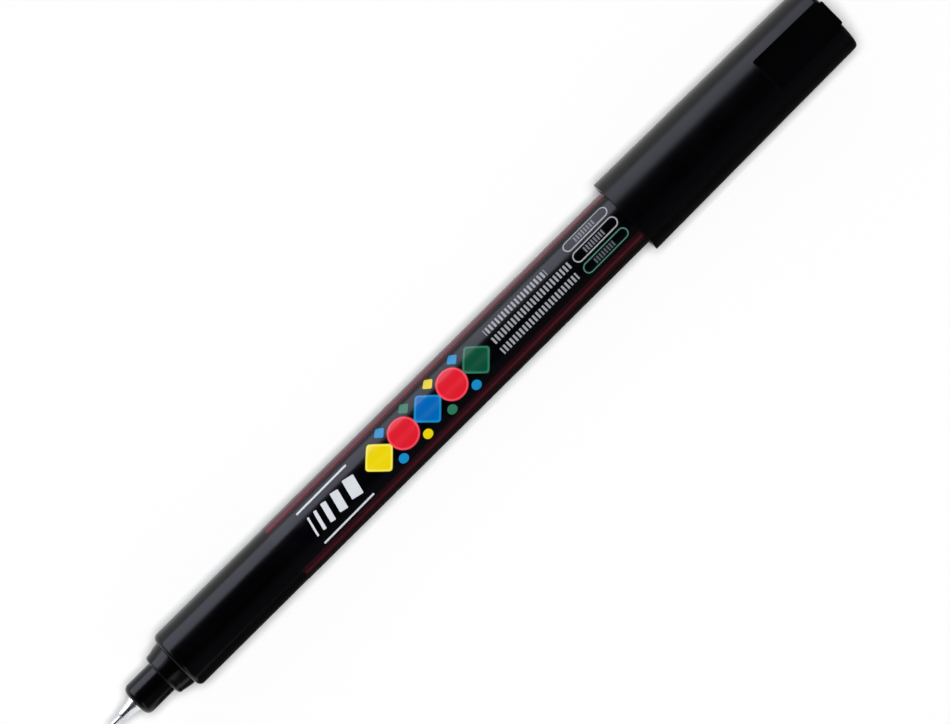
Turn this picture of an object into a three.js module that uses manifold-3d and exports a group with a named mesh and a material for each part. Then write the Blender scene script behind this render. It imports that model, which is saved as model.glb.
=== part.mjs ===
// A slim paint marker with a metal-sleeved pin tip, lying on its side with its cap posted on the tail.
// Millimetres. The pen lies along X with the tip at -X, and +Z is up.
import * as THREE from "three";
import { mergeVertices } from "three/addons/utils/BufferGeometryUtils.js";
import Module from "manifold-3d";

// Roundness: every turned piece has the same flats, one of them facing straight down.
// Radii are measured to the middle of a flat.
const FACETS = 28;
const ARC_STEPS = 3;
const BALL_RINGS = 12;

// Clearances
const PRESS_GAP = 0.08;
const SLIDE_GAP = 0.2;
const STROKE = 1.2;

// Writing tip
const NIB_RADIUS = 0.35;
const NIB_OUT = 1.0;
const NIB_ROOT_RADIUS = 0.62;
const NIB_GAP = 0.04;
const PIPE_LENGTH = 1.7;
const PIPE_RADIUS = 0.5;
const PIPE_NECK = 0.4;
const CONE_FRONT_RADIUS = 0.86;
const CONE_REAR_RADIUS = 1.45;
const CONE_LENGTH = 2.9;
const CONE_WAIST = 0.55;
const STEM_RADIUS = 1.15;
const STEM_LENGTH = 4.4;
const SLEEVE_ROOT_BORE = 0.72;

// Slider that carries the tip, and the wick inside it
const HOLDER_WALL = 0.8;
const HOLDER_GUIDE_LENGTH = 6.9;
const HOLDER_WAIST_RADIUS = 1.7;
const HOLDER_WAIST_LENGTH = 3.2;
const HOLDER_FOOT_RADIUS = 2.5;
const HOLDER_FOOT_LENGTH = 1.0;
const WICK_RADIUS = 0.9;
const WICK_CHAMFER = 0.08;
const GROOVE_WIDTH = 0.7;
const GROOVE_DEPTH = 0.4;
const GROOVES = 3;

// Nose
const NOSE_RADIUS = 2.93;
const NOSE_LENGTH = 6.0;
const NOSE_EDGE = 1.15;
const NOSE_FRONT_WALL = 1.1;
const COLLAR_LENGTH = 3.1;
const COLLAR_FRONT_RADIUS = 3.88;
const COLLAR_REAR_RADIUS = 4.36;
const COLLAR_EDGE = 0.5;
const COLLAR_BULGE = 0.06;
const SPIGOT_LENGTH = 10.9;
const SPIGOT_CHAMFER = 0.3;
const CHAMBER_RADIUS = 2.8;

// Valve
const SEAT_LENGTH = 3.0;
const SEAT_BORE = 3.35;
const SEAT_HOLE = 1.6;
const SEAT_MOUTH = 2.4;
const SEAT_CONE = 1.2;
const SEAT_GAP = 0.12;
const FOOT_DISC_RADIUS = 2.2;
const FOOT_DISC_LENGTH = 0.5;
const VALVE_ROD_RADIUS = 1.0;
const VALVE_FACE_RADIUS = 1.4;
const VALVE_HEAD_LENGTH = 0.8;
const VALVE_TAIL_RADIUS = 0.8;
const CAGE_LENGTH = 12.9;
const CAGE_WALL = 0.52;
const CAGE_END_WALL = 1.2;
const CAGE_WINDOW_WIDTH = 2.2;
const CAGE_WINDOW_FRONT = 4.5;
const CAGE_WINDOW_LENGTH = 6.0;
const WIRE_RADIUS = 0.2;
const SPRING_RADIUS = 1.65;
const SPRING_ACTIVE_TURNS = 6;
const SPRING_STEPS = 12;
const WIRE_HALF_SIDES = 3;
const SPRING_END_GAP = 0.05;

// Barrel, film, ball and tail plug
const BARREL_RADIUS = 5.385;
const BARREL_BORE = 4.15;
const BARREL_LENGTH = 122.1;
const SHOULDER_LENGTH = 0.95;
const SHOULDER_HEIGHT = 0.78;
const FILM_START = 24.2;
const FILM_END_MARGIN = 2.9;
const FILM_GAP = 0.01;
const FILM_THICKNESS = 0.04;
const BALL_RADIUS = 2.5;
const BALL_GAP = 0.1;
const PLUG_HEAD = 1.2;
const PLUG_EDGE = 0.25;
const PLUG_SPIGOT = 5.0;
const PLUG_WALL = 1.0;
const PLUG_FLOOR = 1.4;

// Cap
const CAP_LENGTH = 45.21;
const CAP_MOUTH_RADIUS = 7.07;
const CAP_END_RADIUS = 6.63;
const CAP_EDGE = 0.8;
const CAP_BORE = 5.7;
const CAP_BORE_DEPTH = 23.84;
const CAP_INNER_BORE = 4.95;
const CAP_END_WALL = 1.3;
const CAP_LEAD_IN = 0.3;
const RIBS = 6;
const RIB_WIDTH = 0.8;
const RIB_START = 2.0;
const RIB_LENGTH = 19.0;
const RIB_GAP = 0.1;
const FLAT_HEIGHT = 5.95;
const FLAT_LENGTH = 13.92;
const LAND_WIDTH = 4.8;
const LAND_DEPTH = 4.5;
const LAND_PROUD = 0.28;

// Seal cup inside the cap
const SEAL_CLEARANCE = 0.12;
const SEAL_END_CLEARANCE = 0.5;
const SEAL_LEAD_IN = 0.6;
const SEAL_RIM = 2.0;
const SEAL_WALL = 1.0;
const TIP_ROOM = 2.5;
const TIP_ROOM_RADIUS = 2.2;

// Places along the pen, measured from the front face of the nose
const sleeveOut = PIPE_LENGTH + PIPE_NECK + CONE_LENGTH;
const tipEnd = -(sleeveOut + NIB_OUT);
const holderFront = NOSE_FRONT_WALL;
const wickFront = holderFront + STEM_LENGTH;
const holderLength = HOLDER_GUIDE_LENGTH + HOLDER_WAIST_LENGTH + HOLDER_FOOT_LENGTH;
const holderRear = holderFront + holderLength;
const seatFront = holderRear + FOOT_DISC_LENGTH + STROKE + SLIDE_GAP;
const cageFront = seatFront + SEAT_LENGTH;
const cageRear = cageFront + CAGE_LENGTH;
const barrelFront = NOSE_LENGTH + COLLAR_LENGTH;
const barrelRear = barrelFront + BARREL_LENGTH;
const tailEnd = barrelRear + PLUG_HEAD;
const capMouth = tailEnd - CAP_BORE_DEPTH;
const capEnd = capMouth + CAP_LENGTH;

// Radii and lengths that follow from their neighbours
const spigotRadius = BARREL_BORE - PRESS_GAP;
const holderRadius = STEM_RADIUS + PRESS_GAP + HOLDER_WALL;
const guideRadius = holderRadius + SLIDE_GAP;
const filmOuter = BARREL_RADIUS + FILM_GAP + FILM_THICKNESS;
const filmLength = BARREL_LENGTH - FILM_START - FILM_END_MARGIN;
const seatRadius = SEAT_BORE - PRESS_GAP;
const cageBore = seatRadius - CAGE_WALL;
const coneSlope = (SEAT_MOUTH - SEAT_HOLE) / SEAT_CONE;

const wasm = await Module();
wasm.setup();

// A closed geometry as a solid that can be joined and cut.
function solidOf(geometry) {
  geometry.deleteAttribute("normal");
  geometry.deleteAttribute("uv");
  const merged = mergeVertices(geometry);
  const corners = merged.index.array;
  const faces = [];
  for (let i = 0; i < corners.length; i += 3) {
    const [a, b, c] = corners.slice(i, i + 3);
    if (a !== b && b !== c && c !== a) faces.push(a, b, c);
  }
  return new wasm.Manifold(
    new wasm.Mesh({
      numProp: 3,
      vertProperties: new Float32Array(merged.attributes.position.array),
      triVerts: new Uint32Array(faces),
    }),
  );
}

// A solid back as a geometry that a mesh can show.
function geometryOf(solid) {
  const { vertProperties, triVerts } = solid.getMesh();
  const geometry = new THREE.BufferGeometry();
  geometry.setAttribute("position", new THREE.BufferAttribute(vertProperties, 3));
  geometry.setIndex(new THREE.BufferAttribute(triVerts, 1));
  geometry.computeVertexNormals();
  return geometry;
}

// An outline in (place along the pen, radius) turned about the pen's axis.
function turned(outline) {
  const corner = 1 / Math.cos(Math.PI / FACETS);
  const points = outline.getPoints(ARC_STEPS).map((p) => new THREE.Vector2(p.y * corner, p.x));
  if (THREE.ShapeUtils.area(points) < 0) points.reverse();
  const lathe = new THREE.LatheGeometry(points, FACETS, Math.PI / FACETS, 2 * Math.PI);
  return solidOf(lathe.rotateZ(-Math.PI / 2));
}

// A box by its lowest corner and its size.
function block(low, size) {
  const box = new THREE.BoxGeometry(...size);
  return solidOf(box.translate(...low.map((v, i) => v + size[i] / 2)));
}

// Copies of a solid round the pen's axis.
function around(solid, count, firstDegrees = 0) {
  return Array.from({ length: count }, (_, i) => solid.rotate([firstDegrees + (i * 360) / count, 0, 0]));
}

const cutAll = (solid, tools) => tools.reduce((body, tool) => body.subtract(tool), solid);
const joinAll = (solid, pieces) => pieces.reduce((body, piece) => body.add(piece), solid);

// A quarter-round edge on an outline, from a front face up to a wall.
function frontEdge(outline, x, radius, size) {
  outline.lineTo(x, radius - size);
  outline.absarc(x + size, radius - size, size, Math.PI, Math.PI / 2, true);
}

// A quarter-round edge on an outline, from a wall down to a rear face.
function rearEdge(outline, x, radius, size) {
  outline.lineTo(x - size, radius);
  outline.absarc(x - size, radius - size, size, Math.PI / 2, 0, true);
}

// Plastic pin with a rounded end and a thicker root that can't pass the pipe.
function nib() {
  const neck = NIB_OUT + PIPE_LENGTH + PIPE_NECK;
  const length = NIB_OUT + sleeveOut + NOSE_FRONT_WALL + STEM_LENGTH;
  const outline = new THREE.Path().moveTo(0, 0);
  outline.absarc(NIB_RADIUS, 0, NIB_RADIUS, Math.PI, Math.PI / 2, true);
  outline.lineTo(neck, NIB_RADIUS);
  outline.lineTo(neck + NIB_ROOT_RADIUS, NIB_ROOT_RADIUS);
  outline.lineTo(length, NIB_ROOT_RADIUS);
  outline.lineTo(length, 0);
  return turned(outline);
}

// Drawn metal sleeve: fine pipe, flared cone, a band that fills the nose's hole, and a stem.
function tipSleeve() {
  const cone = PIPE_LENGTH + PIPE_NECK;
  const band = sleeveOut + NOSE_FRONT_WALL;
  const rear = band + STEM_LENGTH;
  const outline = new THREE.Path().moveTo(0, NIB_RADIUS + NIB_GAP);
  outline.lineTo(0, PIPE_RADIUS);
  outline.lineTo(PIPE_LENGTH, PIPE_RADIUS);
  outline.lineTo(cone, CONE_FRONT_RADIUS);
  outline.quadraticCurveTo(
    cone + CONE_LENGTH * CONE_WAIST,
    CONE_FRONT_RADIUS + (CONE_REAR_RADIUS - CONE_FRONT_RADIUS) * (1 - CONE_WAIST) ** 2,
    sleeveOut,
    CONE_REAR_RADIUS,
  );
  outline.lineTo(band, CONE_REAR_RADIUS);
  outline.lineTo(band, STEM_RADIUS);
  outline.lineTo(rear, STEM_RADIUS);
  outline.lineTo(rear, SLEEVE_ROOT_BORE);
  outline.lineTo(cone + SLEEVE_ROOT_BORE - NIB_RADIUS, SLEEVE_ROOT_BORE);
  outline.lineTo(cone, NIB_RADIUS + NIB_GAP);
  outline.closePath();
  return turned(outline);
}

// Slider with air grooves along its guide and a foot that pushes the valve open.
function tipHolder() {
  const waistRear = HOLDER_GUIDE_LENGTH + HOLDER_WAIST_LENGTH;
  const stemBore = STEM_RADIUS + PRESS_GAP;
  const wickBore = WICK_RADIUS + PRESS_GAP;
  const outline = new THREE.Path().moveTo(0, stemBore);
  outline.lineTo(0, holderRadius);
  outline.lineTo(HOLDER_GUIDE_LENGTH, holderRadius);
  outline.lineTo(HOLDER_GUIDE_LENGTH, HOLDER_WAIST_RADIUS);
  outline.lineTo(waistRear, HOLDER_WAIST_RADIUS);
  outline.lineTo(waistRear, HOLDER_FOOT_RADIUS);
  outline.lineTo(holderLength, HOLDER_FOOT_RADIUS);
  outline.lineTo(holderLength, wickBore);
  outline.lineTo(STEM_LENGTH, wickBore);
  outline.lineTo(STEM_LENGTH, stemBore);
  outline.closePath();
  const groove = block(
    [-GROOVE_DEPTH, -GROOVE_WIDTH / 2, holderRadius - GROOVE_DEPTH],
    [holderLength + 2 * GROOVE_DEPTH, GROOVE_WIDTH, HOLDER_FOOT_RADIUS],
  );
  return cutAll(turned(outline), around(groove, GROOVES));
}

// Fibre rod with its ends broken by a small chamfer.
function relayWick() {
  const length = holderLength - STEM_LENGTH;
  const outline = new THREE.Path().moveTo(0, 0);
  outline.lineTo(0, WICK_RADIUS - WICK_CHAMFER);
  outline.lineTo(WICK_CHAMFER, WICK_RADIUS);
  outline.lineTo(length - WICK_CHAMFER, WICK_RADIUS);
  outline.lineTo(length, WICK_RADIUS - WICK_CHAMFER);
  outline.lineTo(length, 0);
  return turned(outline);
}

// Fore-barrel: cylinder with a rounded front edge, swelling collar and the spigot that plugs in.
function nose() {
  const spigotRear = barrelFront + SPIGOT_LENGTH;
  const guideRear = holderFront + HOLDER_GUIDE_LENGTH + STROKE;
  const hole = CONE_REAR_RADIUS + SLIDE_GAP;
  const collarTop = NOSE_LENGTH + COLLAR_EDGE;
  const outline = new THREE.Path().moveTo(0, hole);
  frontEdge(outline, 0, NOSE_RADIUS, NOSE_EDGE);
  outline.lineTo(NOSE_LENGTH, NOSE_RADIUS);
  frontEdge(outline, NOSE_LENGTH, COLLAR_FRONT_RADIUS, COLLAR_EDGE);
  outline.quadraticCurveTo(
    (collarTop + barrelFront) / 2,
    (COLLAR_FRONT_RADIUS + COLLAR_REAR_RADIUS) / 2 + COLLAR_BULGE,
    barrelFront,
    COLLAR_REAR_RADIUS,
  );
  outline.lineTo(barrelFront, spigotRadius);
  outline.lineTo(spigotRear - SPIGOT_CHAMFER, spigotRadius);
  outline.lineTo(spigotRear, spigotRadius - SPIGOT_CHAMFER);
  outline.lineTo(spigotRear, SEAT_BORE);
  outline.lineTo(seatFront, SEAT_BORE);
  outline.lineTo(seatFront, CHAMBER_RADIUS);
  outline.lineTo(guideRear, CHAMBER_RADIUS);
  outline.lineTo(guideRear, guideRadius);
  outline.lineTo(NOSE_FRONT_WALL, guideRadius);
  outline.lineTo(NOSE_FRONT_WALL, hole);
  outline.closePath();
  return turned(outline);
}

// Fixed ring with the cone that the valve's head closes.
function valveSeat() {
  const outline = new THREE.Path().moveTo(0, SEAT_HOLE);
  outline.lineTo(0, seatRadius);
  outline.lineTo(SEAT_LENGTH, seatRadius);
  outline.lineTo(SEAT_LENGTH, SEAT_MOUTH);
  outline.lineTo(SEAT_LENGTH - SEAT_CONE, SEAT_HOLE);
  outline.closePath();
  return turned(outline);
}

// Places on the valve stem, from its front disc.
const seatAt = seatFront - holderRear;
const headRear = seatAt + SEAT_LENGTH + SEAT_GAP + VALVE_HEAD_LENGTH;

// Plunger: notched disc against the slider's foot, rod through the seat, conical head, guided tail.
function valveStem() {
  const coneFront = seatAt + SEAT_LENGTH - SEAT_CONE + SEAT_GAP + (VALVE_FACE_RADIUS - SEAT_HOLE) / coneSlope;
  const coneRear = seatAt + SEAT_LENGTH + SEAT_GAP;
  const tailRear = seatAt + SEAT_LENGTH + CAGE_LENGTH - SLIDE_GAP;
  const outline = new THREE.Path().moveTo(0, 0);
  outline.lineTo(0, FOOT_DISC_RADIUS);
  outline.lineTo(FOOT_DISC_LENGTH, FOOT_DISC_RADIUS);
  outline.lineTo(FOOT_DISC_LENGTH, VALVE_ROD_RADIUS);
  outline.lineTo(coneFront, VALVE_ROD_RADIUS);
  outline.lineTo(coneFront, VALVE_FACE_RADIUS);
  outline.lineTo(coneRear, SEAT_MOUTH);
  outline.lineTo(headRear, SEAT_MOUTH);
  outline.lineTo(headRear, VALVE_TAIL_RADIUS);
  outline.lineTo(tailRear, VALVE_TAIL_RADIUS);
  outline.lineTo(tailRear, 0);
  const notch = block(
    [-GROOVE_DEPTH, -GROOVE_WIDTH / 2, WICK_RADIUS / 2],
    [FOOT_DISC_LENGTH + 2 * GROOVE_DEPTH, GROOVE_WIDTH, FOOT_DISC_RADIUS],
  );
  const rodRoom = block(
    [FOOT_DISC_LENGTH, -VALVE_ROD_RADIUS, -VALVE_ROD_RADIUS],
    [GROOVE_DEPTH, 2 * VALVE_ROD_RADIUS, 2 * VALVE_ROD_RADIUS],
  );
  return cutAll(turned(outline), around(notch.subtract(rodRoom), GROOVES));
}

// Slotted basket with a guide hole for the stem's tail.
function valveCage() {
  const endFront = CAGE_LENGTH - CAGE_END_WALL;
  const hole = VALVE_TAIL_RADIUS + SLIDE_GAP;
  const outline = new THREE.Path().moveTo(0, cageBore);
  outline.lineTo(0, seatRadius);
  outline.lineTo(CAGE_LENGTH, seatRadius);
  outline.lineTo(CAGE_LENGTH, hole);
  outline.lineTo(endFront, hole);
  outline.lineTo(endFront, cageBore);
  outline.closePath();
  const window = block(
    [CAGE_WINDOW_FRONT, -CAGE_WINDOW_WIDTH / 2, -SEAT_BORE],
    [CAGE_WINDOW_LENGTH, CAGE_WINDOW_WIDTH, 2 * SEAT_BORE],
  );
  return cutAll(turned(outline), [window, window.rotate([90, 0, 0])]);
}

// Compression spring: one closed turn at each end and open turns between them.
class SpringWire extends THREE.Curve {
  constructor(length) {
    super();
    this.length = length;
    this.turns = SPRING_ACTIVE_TURNS + 2;
  }

  getPoint(t, target = new THREE.Vector3()) {
    const turn = t * this.turns;
    const closed = 2 * (WIRE_RADIUS + SPRING_END_GAP);
    const open = (this.length - 2 * closed) / SPRING_ACTIVE_TURNS;
    const along = turn < 1 ? turn * closed : closed + (Math.min(turn, this.turns - 1) - 1) * open;
    const last = Math.max(0, turn - (this.turns - 1)) * closed;
    const angle = 2 * Math.PI * turn;
    return target.set(along + last, SPRING_RADIUS * Math.cos(angle), SPRING_RADIUS * Math.sin(angle));
  }
}

const springSeat = holderRear + headRear;
const springRoom = cageRear - CAGE_END_WALL - springSeat;

function valveSpring() {
  const end = WIRE_RADIUS + SPRING_END_GAP;
  const path = new SpringWire(springRoom - 2 * end);
  const section = new THREE.Shape().absarc(0, 0, WIRE_RADIUS, 0, 2 * Math.PI);
  const wire = new THREE.ExtrudeGeometry(section, {
    steps: path.turns * SPRING_STEPS,
    curveSegments: WIRE_HALF_SIDES,
    extrudePath: path,
  });
  return solidOf(wire.translate(end, 0, 0));
}

// Reservoir tube with a rounded front shoulder.
function barrel() {
  const outline = new THREE.Path().moveTo(0, BARREL_BORE);
  const step = BARREL_RADIUS - SHOULDER_HEIGHT;
  outline.lineTo(0, step);
  outline.absellipse(SHOULDER_LENGTH, step, SHOULDER_LENGTH, SHOULDER_HEIGHT, Math.PI, Math.PI / 2, true);
  outline.lineTo(BARREL_LENGTH, BARREL_RADIUS);
  outline.lineTo(BARREL_LENGTH, BARREL_BORE);
  outline.closePath();
  return turned(outline);
}

// Thin printed sleeve shrunk round the barrel.
function printFilm() {
  const inner = BARREL_RADIUS + FILM_GAP;
  const outline = new THREE.Path().moveTo(0, inner);
  outline.lineTo(0, filmOuter);
  outline.lineTo(filmLength, filmOuter);
  outline.lineTo(filmLength, inner);
  outline.closePath();
  return turned(outline);
}

function mixingBall() {
  return solidOf(new THREE.SphereGeometry(BALL_RADIUS, 2 * BALL_RINGS, BALL_RINGS));
}

// Hollow plug with a head as wide as the barrel.
function tailPlug() {
  const spigot = BARREL_BORE - PRESS_GAP;
  const rear = PLUG_SPIGOT + PLUG_HEAD;
  const outline = new THREE.Path().moveTo(rear - PLUG_FLOOR, 0);
  outline.lineTo(rear - PLUG_FLOOR, spigot - PLUG_WALL);
  outline.lineTo(0, spigot - PLUG_WALL);
  outline.lineTo(0, spigot - SPIGOT_CHAMFER);
  outline.lineTo(SPIGOT_CHAMFER, spigot);
  outline.lineTo(PLUG_SPIGOT, spigot);
  outline.lineTo(PLUG_SPIGOT, BARREL_RADIUS);
  outline.lineTo(rear - PLUG_EDGE, BARREL_RADIUS);
  outline.lineTo(rear, BARREL_RADIUS - PLUG_EDGE);
  outline.lineTo(rear, 0);
  return turned(outline);
}

// Tapered cup: wide bore down to the ledge that stops the tail, narrower bore for the seal cup.
function capBody() {
  const endInside = CAP_LENGTH - CAP_END_WALL;
  const outline = new THREE.Path().moveTo(endInside, 0);
  outline.lineTo(endInside, CAP_INNER_BORE);
  outline.lineTo(CAP_BORE_DEPTH, CAP_INNER_BORE);
  outline.lineTo(CAP_BORE_DEPTH, CAP_BORE);
  outline.lineTo(CAP_LEAD_IN, CAP_BORE);
  outline.lineTo(0, CAP_BORE + CAP_LEAD_IN);
  outline.lineTo(0, CAP_MOUTH_RADIUS);
  rearEdge(outline, CAP_LENGTH, CAP_END_RADIUS, CAP_EDGE);
  outline.lineTo(CAP_LENGTH, 0);
  return turned(outline);
}

// Cap with grip ribs in its bore, a planar flat at its closed end and a small land below the flat.
function capShell() {
  const ribTop = filmOuter + RIB_GAP;
  const ribHeight = (CAP_BORE + CAP_MOUTH_RADIUS) / 2 - ribTop;
  const rib = block([RIB_START, -RIB_WIDTH / 2, ribTop], [RIB_LENGTH, RIB_WIDTH, ribHeight]);
  const land = block(
    [CAP_LENGTH - CAP_END_WALL / 2, -LAND_WIDTH / 2, FLAT_HEIGHT - LAND_DEPTH],
    [CAP_END_WALL / 2 + LAND_PROUD, LAND_WIDTH, LAND_DEPTH],
  );
  const above = block(
    [CAP_LENGTH - FLAT_LENGTH, -CAP_MOUTH_RADIUS, FLAT_HEIGHT],
    [FLAT_LENGTH + LAND_PROUD, 2 * CAP_MOUTH_RADIUS, CAP_MOUTH_RADIUS],
  );
  const ribbed = joinAll(capBody(), around(rib, RIBS, 180 / RIBS));
  return ribbed.add(land).subtract(above);
}

// Places inside the cap, from its mouth, with the cap on the nose and the shoulder on the ledge.
const collarDepth = CAP_BORE_DEPTH + COLLAR_LENGTH;
const noseDepth = collarDepth + NOSE_LENGTH;
const tipDepth = noseDepth - tipEnd;
const sealFront = collarDepth + SEAL_END_CLEARANCE;

// Spool-shaped seal cup: a bore that closes on the nose and a narrower room for the tip.
function innerCap() {
  const rimRadius = CAP_INNER_BORE - PRESS_GAP;
  const bore = NOSE_RADIUS + SEAL_CLEARANCE;
  const waist = bore + SEAL_WALL;
  const length = CAP_LENGTH - CAP_END_WALL - sealFront;
  const tipRoomFront = noseDepth + SEAL_END_CLEARANCE - sealFront;
  const tipRoomRear = tipDepth + TIP_ROOM - sealFront;
  const outline = new THREE.Path().moveTo(tipRoomRear, 0);
  outline.lineTo(tipRoomRear, TIP_ROOM_RADIUS);
  outline.lineTo(tipRoomFront, TIP_ROOM_RADIUS);
  outline.lineTo(tipRoomFront, bore);
  outline.lineTo(SEAL_LEAD_IN, bore);
  outline.lineTo(0, bore + SEAL_LEAD_IN);
  outline.lineTo(0, rimRadius);
  outline.lineTo(SEAL_RIM, rimRadius);
  outline.lineTo(SEAL_RIM, waist);
  outline.lineTo(length - SEAL_RIM, waist);
  outline.lineTo(length - SEAL_RIM, rimRadius);
  outline.lineTo(length, rimRadius);
  outline.lineTo(length, 0);
  return turned(outline);
}

// Finishes
function finish(color, roughness, metalness = 0) {
  return () => new THREE.MeshStandardMaterial({ color, roughness, metalness });
}

const glossBlack = finish(0x0b0b0e, 0.3);
const satinBlack = finish(0x0e0e10, 0.42);
const printedFilm = finish(0x08080b, 0.18);
const bareSteel = finish(0xc9ccd0, 0.2, 1);
const whiteAcetal = finish(0xe9e7df, 0.45);
const milkyPlastic = finish(0xd9dadb, 0.5);
const blackFibre = finish(0x1a1a1c, 0.9);

// A named mesh with its front at a place along the pen.
function piece(name, solid, material, x = 0, z = 0) {
  const mesh = new THREE.Mesh(geometryOf(solid), material());
  mesh.name = name;
  mesh.position.set(x, 0, z);
  return mesh;
}

function group(x, ...children) {
  const made = new THREE.Group();
  made.position.x = x;
  made.add(...children);
  return made;
}

const tip = group(
  0,
  piece("nib", nib(), whiteAcetal, tipEnd),
  piece("tip_sleeve", tipSleeve(), bareSteel, -sleeveOut),
  piece("tip_holder", tipHolder(), milkyPlastic, holderFront),
  piece("relay_wick", relayWick(), blackFibre, wickFront),
  piece("valve_stem", valveStem(), whiteAcetal, holderRear),
);
const valve = group(
  0,
  piece("valve_seat", valveSeat(), milkyPlastic, seatFront),
  piece("valve_spring", valveSpring(), bareSteel, springSeat),
  piece("valve_cage", valveCage(), milkyPlastic, cageFront),
);
const reservoir = group(
  barrelFront,
  piece("barrel", barrel(), glossBlack),
  piece("print_film", printFilm(), printedFilm, FILM_START),
  piece("tail_plug", tailPlug(), glossBlack, BARREL_LENGTH - PLUG_SPIGOT),
);
const ball = piece(
  "mixing_ball",
  mixingBall(),
  bareSteel,
  cageRear + STROKE + BALL_GAP + BALL_RADIUS,
  BALL_RADIUS + BALL_GAP - BARREL_BORE,
);
const cap = group(
  capMouth,
  piece("cap_shell", capShell(), satinBlack),
  piece("inner_cap", innerCap(), milkyPlastic, sealFront),
);

// The origin lies on the table under the middle of the marker's length.
const marker = new THREE.Group();
const middle = (tipEnd + capEnd + LAND_PROUD) / 2;
const pen = group(-middle, piece("nose", nose(), glossBlack), tip, valve, reservoir, ball, cap);
pen.position.z = CAP_MOUTH_RADIUS;
marker.add(pen);

export default marker;
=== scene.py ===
"""A slim valve-action paint marker with a metal-sleeved pin tip and its cap posted on the tail.

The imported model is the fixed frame: it says where each piece lies and how wide it is. Every piece
is turned, cut and ribbed again here with fine round surfaces at that place, and gets the finish of
the real material. Metres, with +X from the tip to the cap's closed end and +Z up.
"""

from __future__ import annotations

import logging
import math
from collections.abc import Callable, Iterable, Sequence
from dataclasses import dataclass, field
from enum import Enum
from itertools import pairwise
from typing import Any

import bmesh
import bpy
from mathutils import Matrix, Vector


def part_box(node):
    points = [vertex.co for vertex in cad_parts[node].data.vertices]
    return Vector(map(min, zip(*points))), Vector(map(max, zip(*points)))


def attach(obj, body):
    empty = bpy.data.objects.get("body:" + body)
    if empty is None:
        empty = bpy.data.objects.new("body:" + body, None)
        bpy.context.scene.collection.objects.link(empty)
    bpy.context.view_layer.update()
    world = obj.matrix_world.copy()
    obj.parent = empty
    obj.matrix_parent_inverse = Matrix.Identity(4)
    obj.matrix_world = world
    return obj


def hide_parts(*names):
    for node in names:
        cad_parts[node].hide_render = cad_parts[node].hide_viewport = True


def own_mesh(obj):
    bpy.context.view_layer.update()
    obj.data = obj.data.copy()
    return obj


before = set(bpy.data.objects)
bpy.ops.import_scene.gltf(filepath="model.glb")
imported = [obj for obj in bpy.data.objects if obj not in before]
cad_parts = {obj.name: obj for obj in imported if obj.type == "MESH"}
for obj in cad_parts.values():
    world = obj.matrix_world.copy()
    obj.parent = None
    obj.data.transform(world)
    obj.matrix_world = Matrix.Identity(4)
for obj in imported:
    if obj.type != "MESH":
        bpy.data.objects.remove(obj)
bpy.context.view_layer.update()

log = logging.getLogger("marker")

MM = 0.001
SIDES = 96
FINE_SIDES = 64
PLACE_TOLERANCE = 0.004 * MM
SMOOTH_ANGLE = math.radians(31)
SHARP_ANGLE = math.radians(12)
LEAST_SEGMENTS, MOST_SEGMENTS = 3, 8
SEGMENT_STEP = 0.1 * MM
NOISE_LOW, NOISE_HIGH = 0.3, 0.7

AXIS = sum(corner.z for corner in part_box("nose")) / 2


class Body(Enum):
    """The bodies that pieces ride on."""

    BARREL = "barrel"
    TIP = "tip"
    BALL = "ball"
    CAP = "cap"


class Ends(Enum):
    """How a turned outline is closed."""

    ON_AXIS = "both ends of the outline are closed on the axis"
    JOINED = "the outline's last ring is joined to its first"


class Carve(Enum):
    """What a block does to a piece."""

    CUT = "DIFFERENCE"
    ADD = "UNION"


class Ink(Enum):
    """Printing inks on the film, as sRGB hex values."""

    WHITE = "D2D6DC"
    GREY = "A4A5AE"
    DIM_GREY = "7E8089"
    CRIMSON = "A4264C"
    # Crimson painted darker, as painted shade, for the line on the marker's shaded -Y side.
    DULL_CRIMSON = "501A26"
    DEEP_CRIMSON = "560C22"
    # Deep crimson painted darker, as painted shade, for the band on the marker's shaded -Y side.
    DARK_CRIMSON = "38060F"
    RED = "D81C2C"
    PALE_RED = "F0485A"
    BLUE = "0062B0"
    PALE_BLUE = "1488C4"
    GREEN = "0A4A34"
    PALE_GREEN = "2E7458"
    YELLOW = "E6CE08"
    PALE_YELLOW = "F2E452"
    SOFT_GREEN = "48806C"


# Colours and shader nodes


def linear(hex_colour: str) -> tuple[float, float, float, float]:
    """Turns an sRGB hex value into a linear colour.

    Args:
        hex_colour: Six hex digits, such as "C0C3C7".

    Returns:
        Linear red, green and blue, and an alpha of 1.
    """
    toe, toe_slope, offset, power = 0.04045, 12.92, 0.055, 2.4
    levels = [int(hex_colour[i : i + 2], 16) / 255 for i in (0, 2, 4)]
    red, green, blue = (
        level / toe_slope if level <= toe else ((level + offset) / (1 + offset)) ** power
        for level in levels
    )
    return red, green, blue, 1.0


def add_node(
    tree: bpy.types.NodeTree, kind: str, sockets: dict[Any, Any] | None = None, **settings: Any
) -> bpy.types.Node:
    """Adds a node with its settings and links.

    Args:
        tree: The node tree of a material or world.
        kind: The node's type name.
        sockets: For each input, by name or index, a value or the output socket to link.
        settings: The node's own properties.

    Returns:
        The new node.
    """
    node = tree.nodes.new(kind)
    for name, value in settings.items():
        setattr(node, name, value)
    for key, value in (sockets or {}).items():
        if isinstance(value, bpy.types.NodeSocket):
            tree.links.new(value, node.inputs[key])
        else:
            node.inputs[key].default_value = value
    return node


def blank_material(name: str) -> bpy.types.Material:
    """A material with an empty node tree.

    Args:
        name: The material's name.

    Returns:
        The new material.
    """
    material = bpy.data.materials.new(name)
    material.use_nodes = True
    material.node_tree.nodes.clear()
    return material


def per_metre(millimetres: float) -> float:
    """How many times a pattern of a real size in millimetres repeats in a metre."""
    return 1 / (millimetres * MM)


# Modelling, one operator after another


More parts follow.
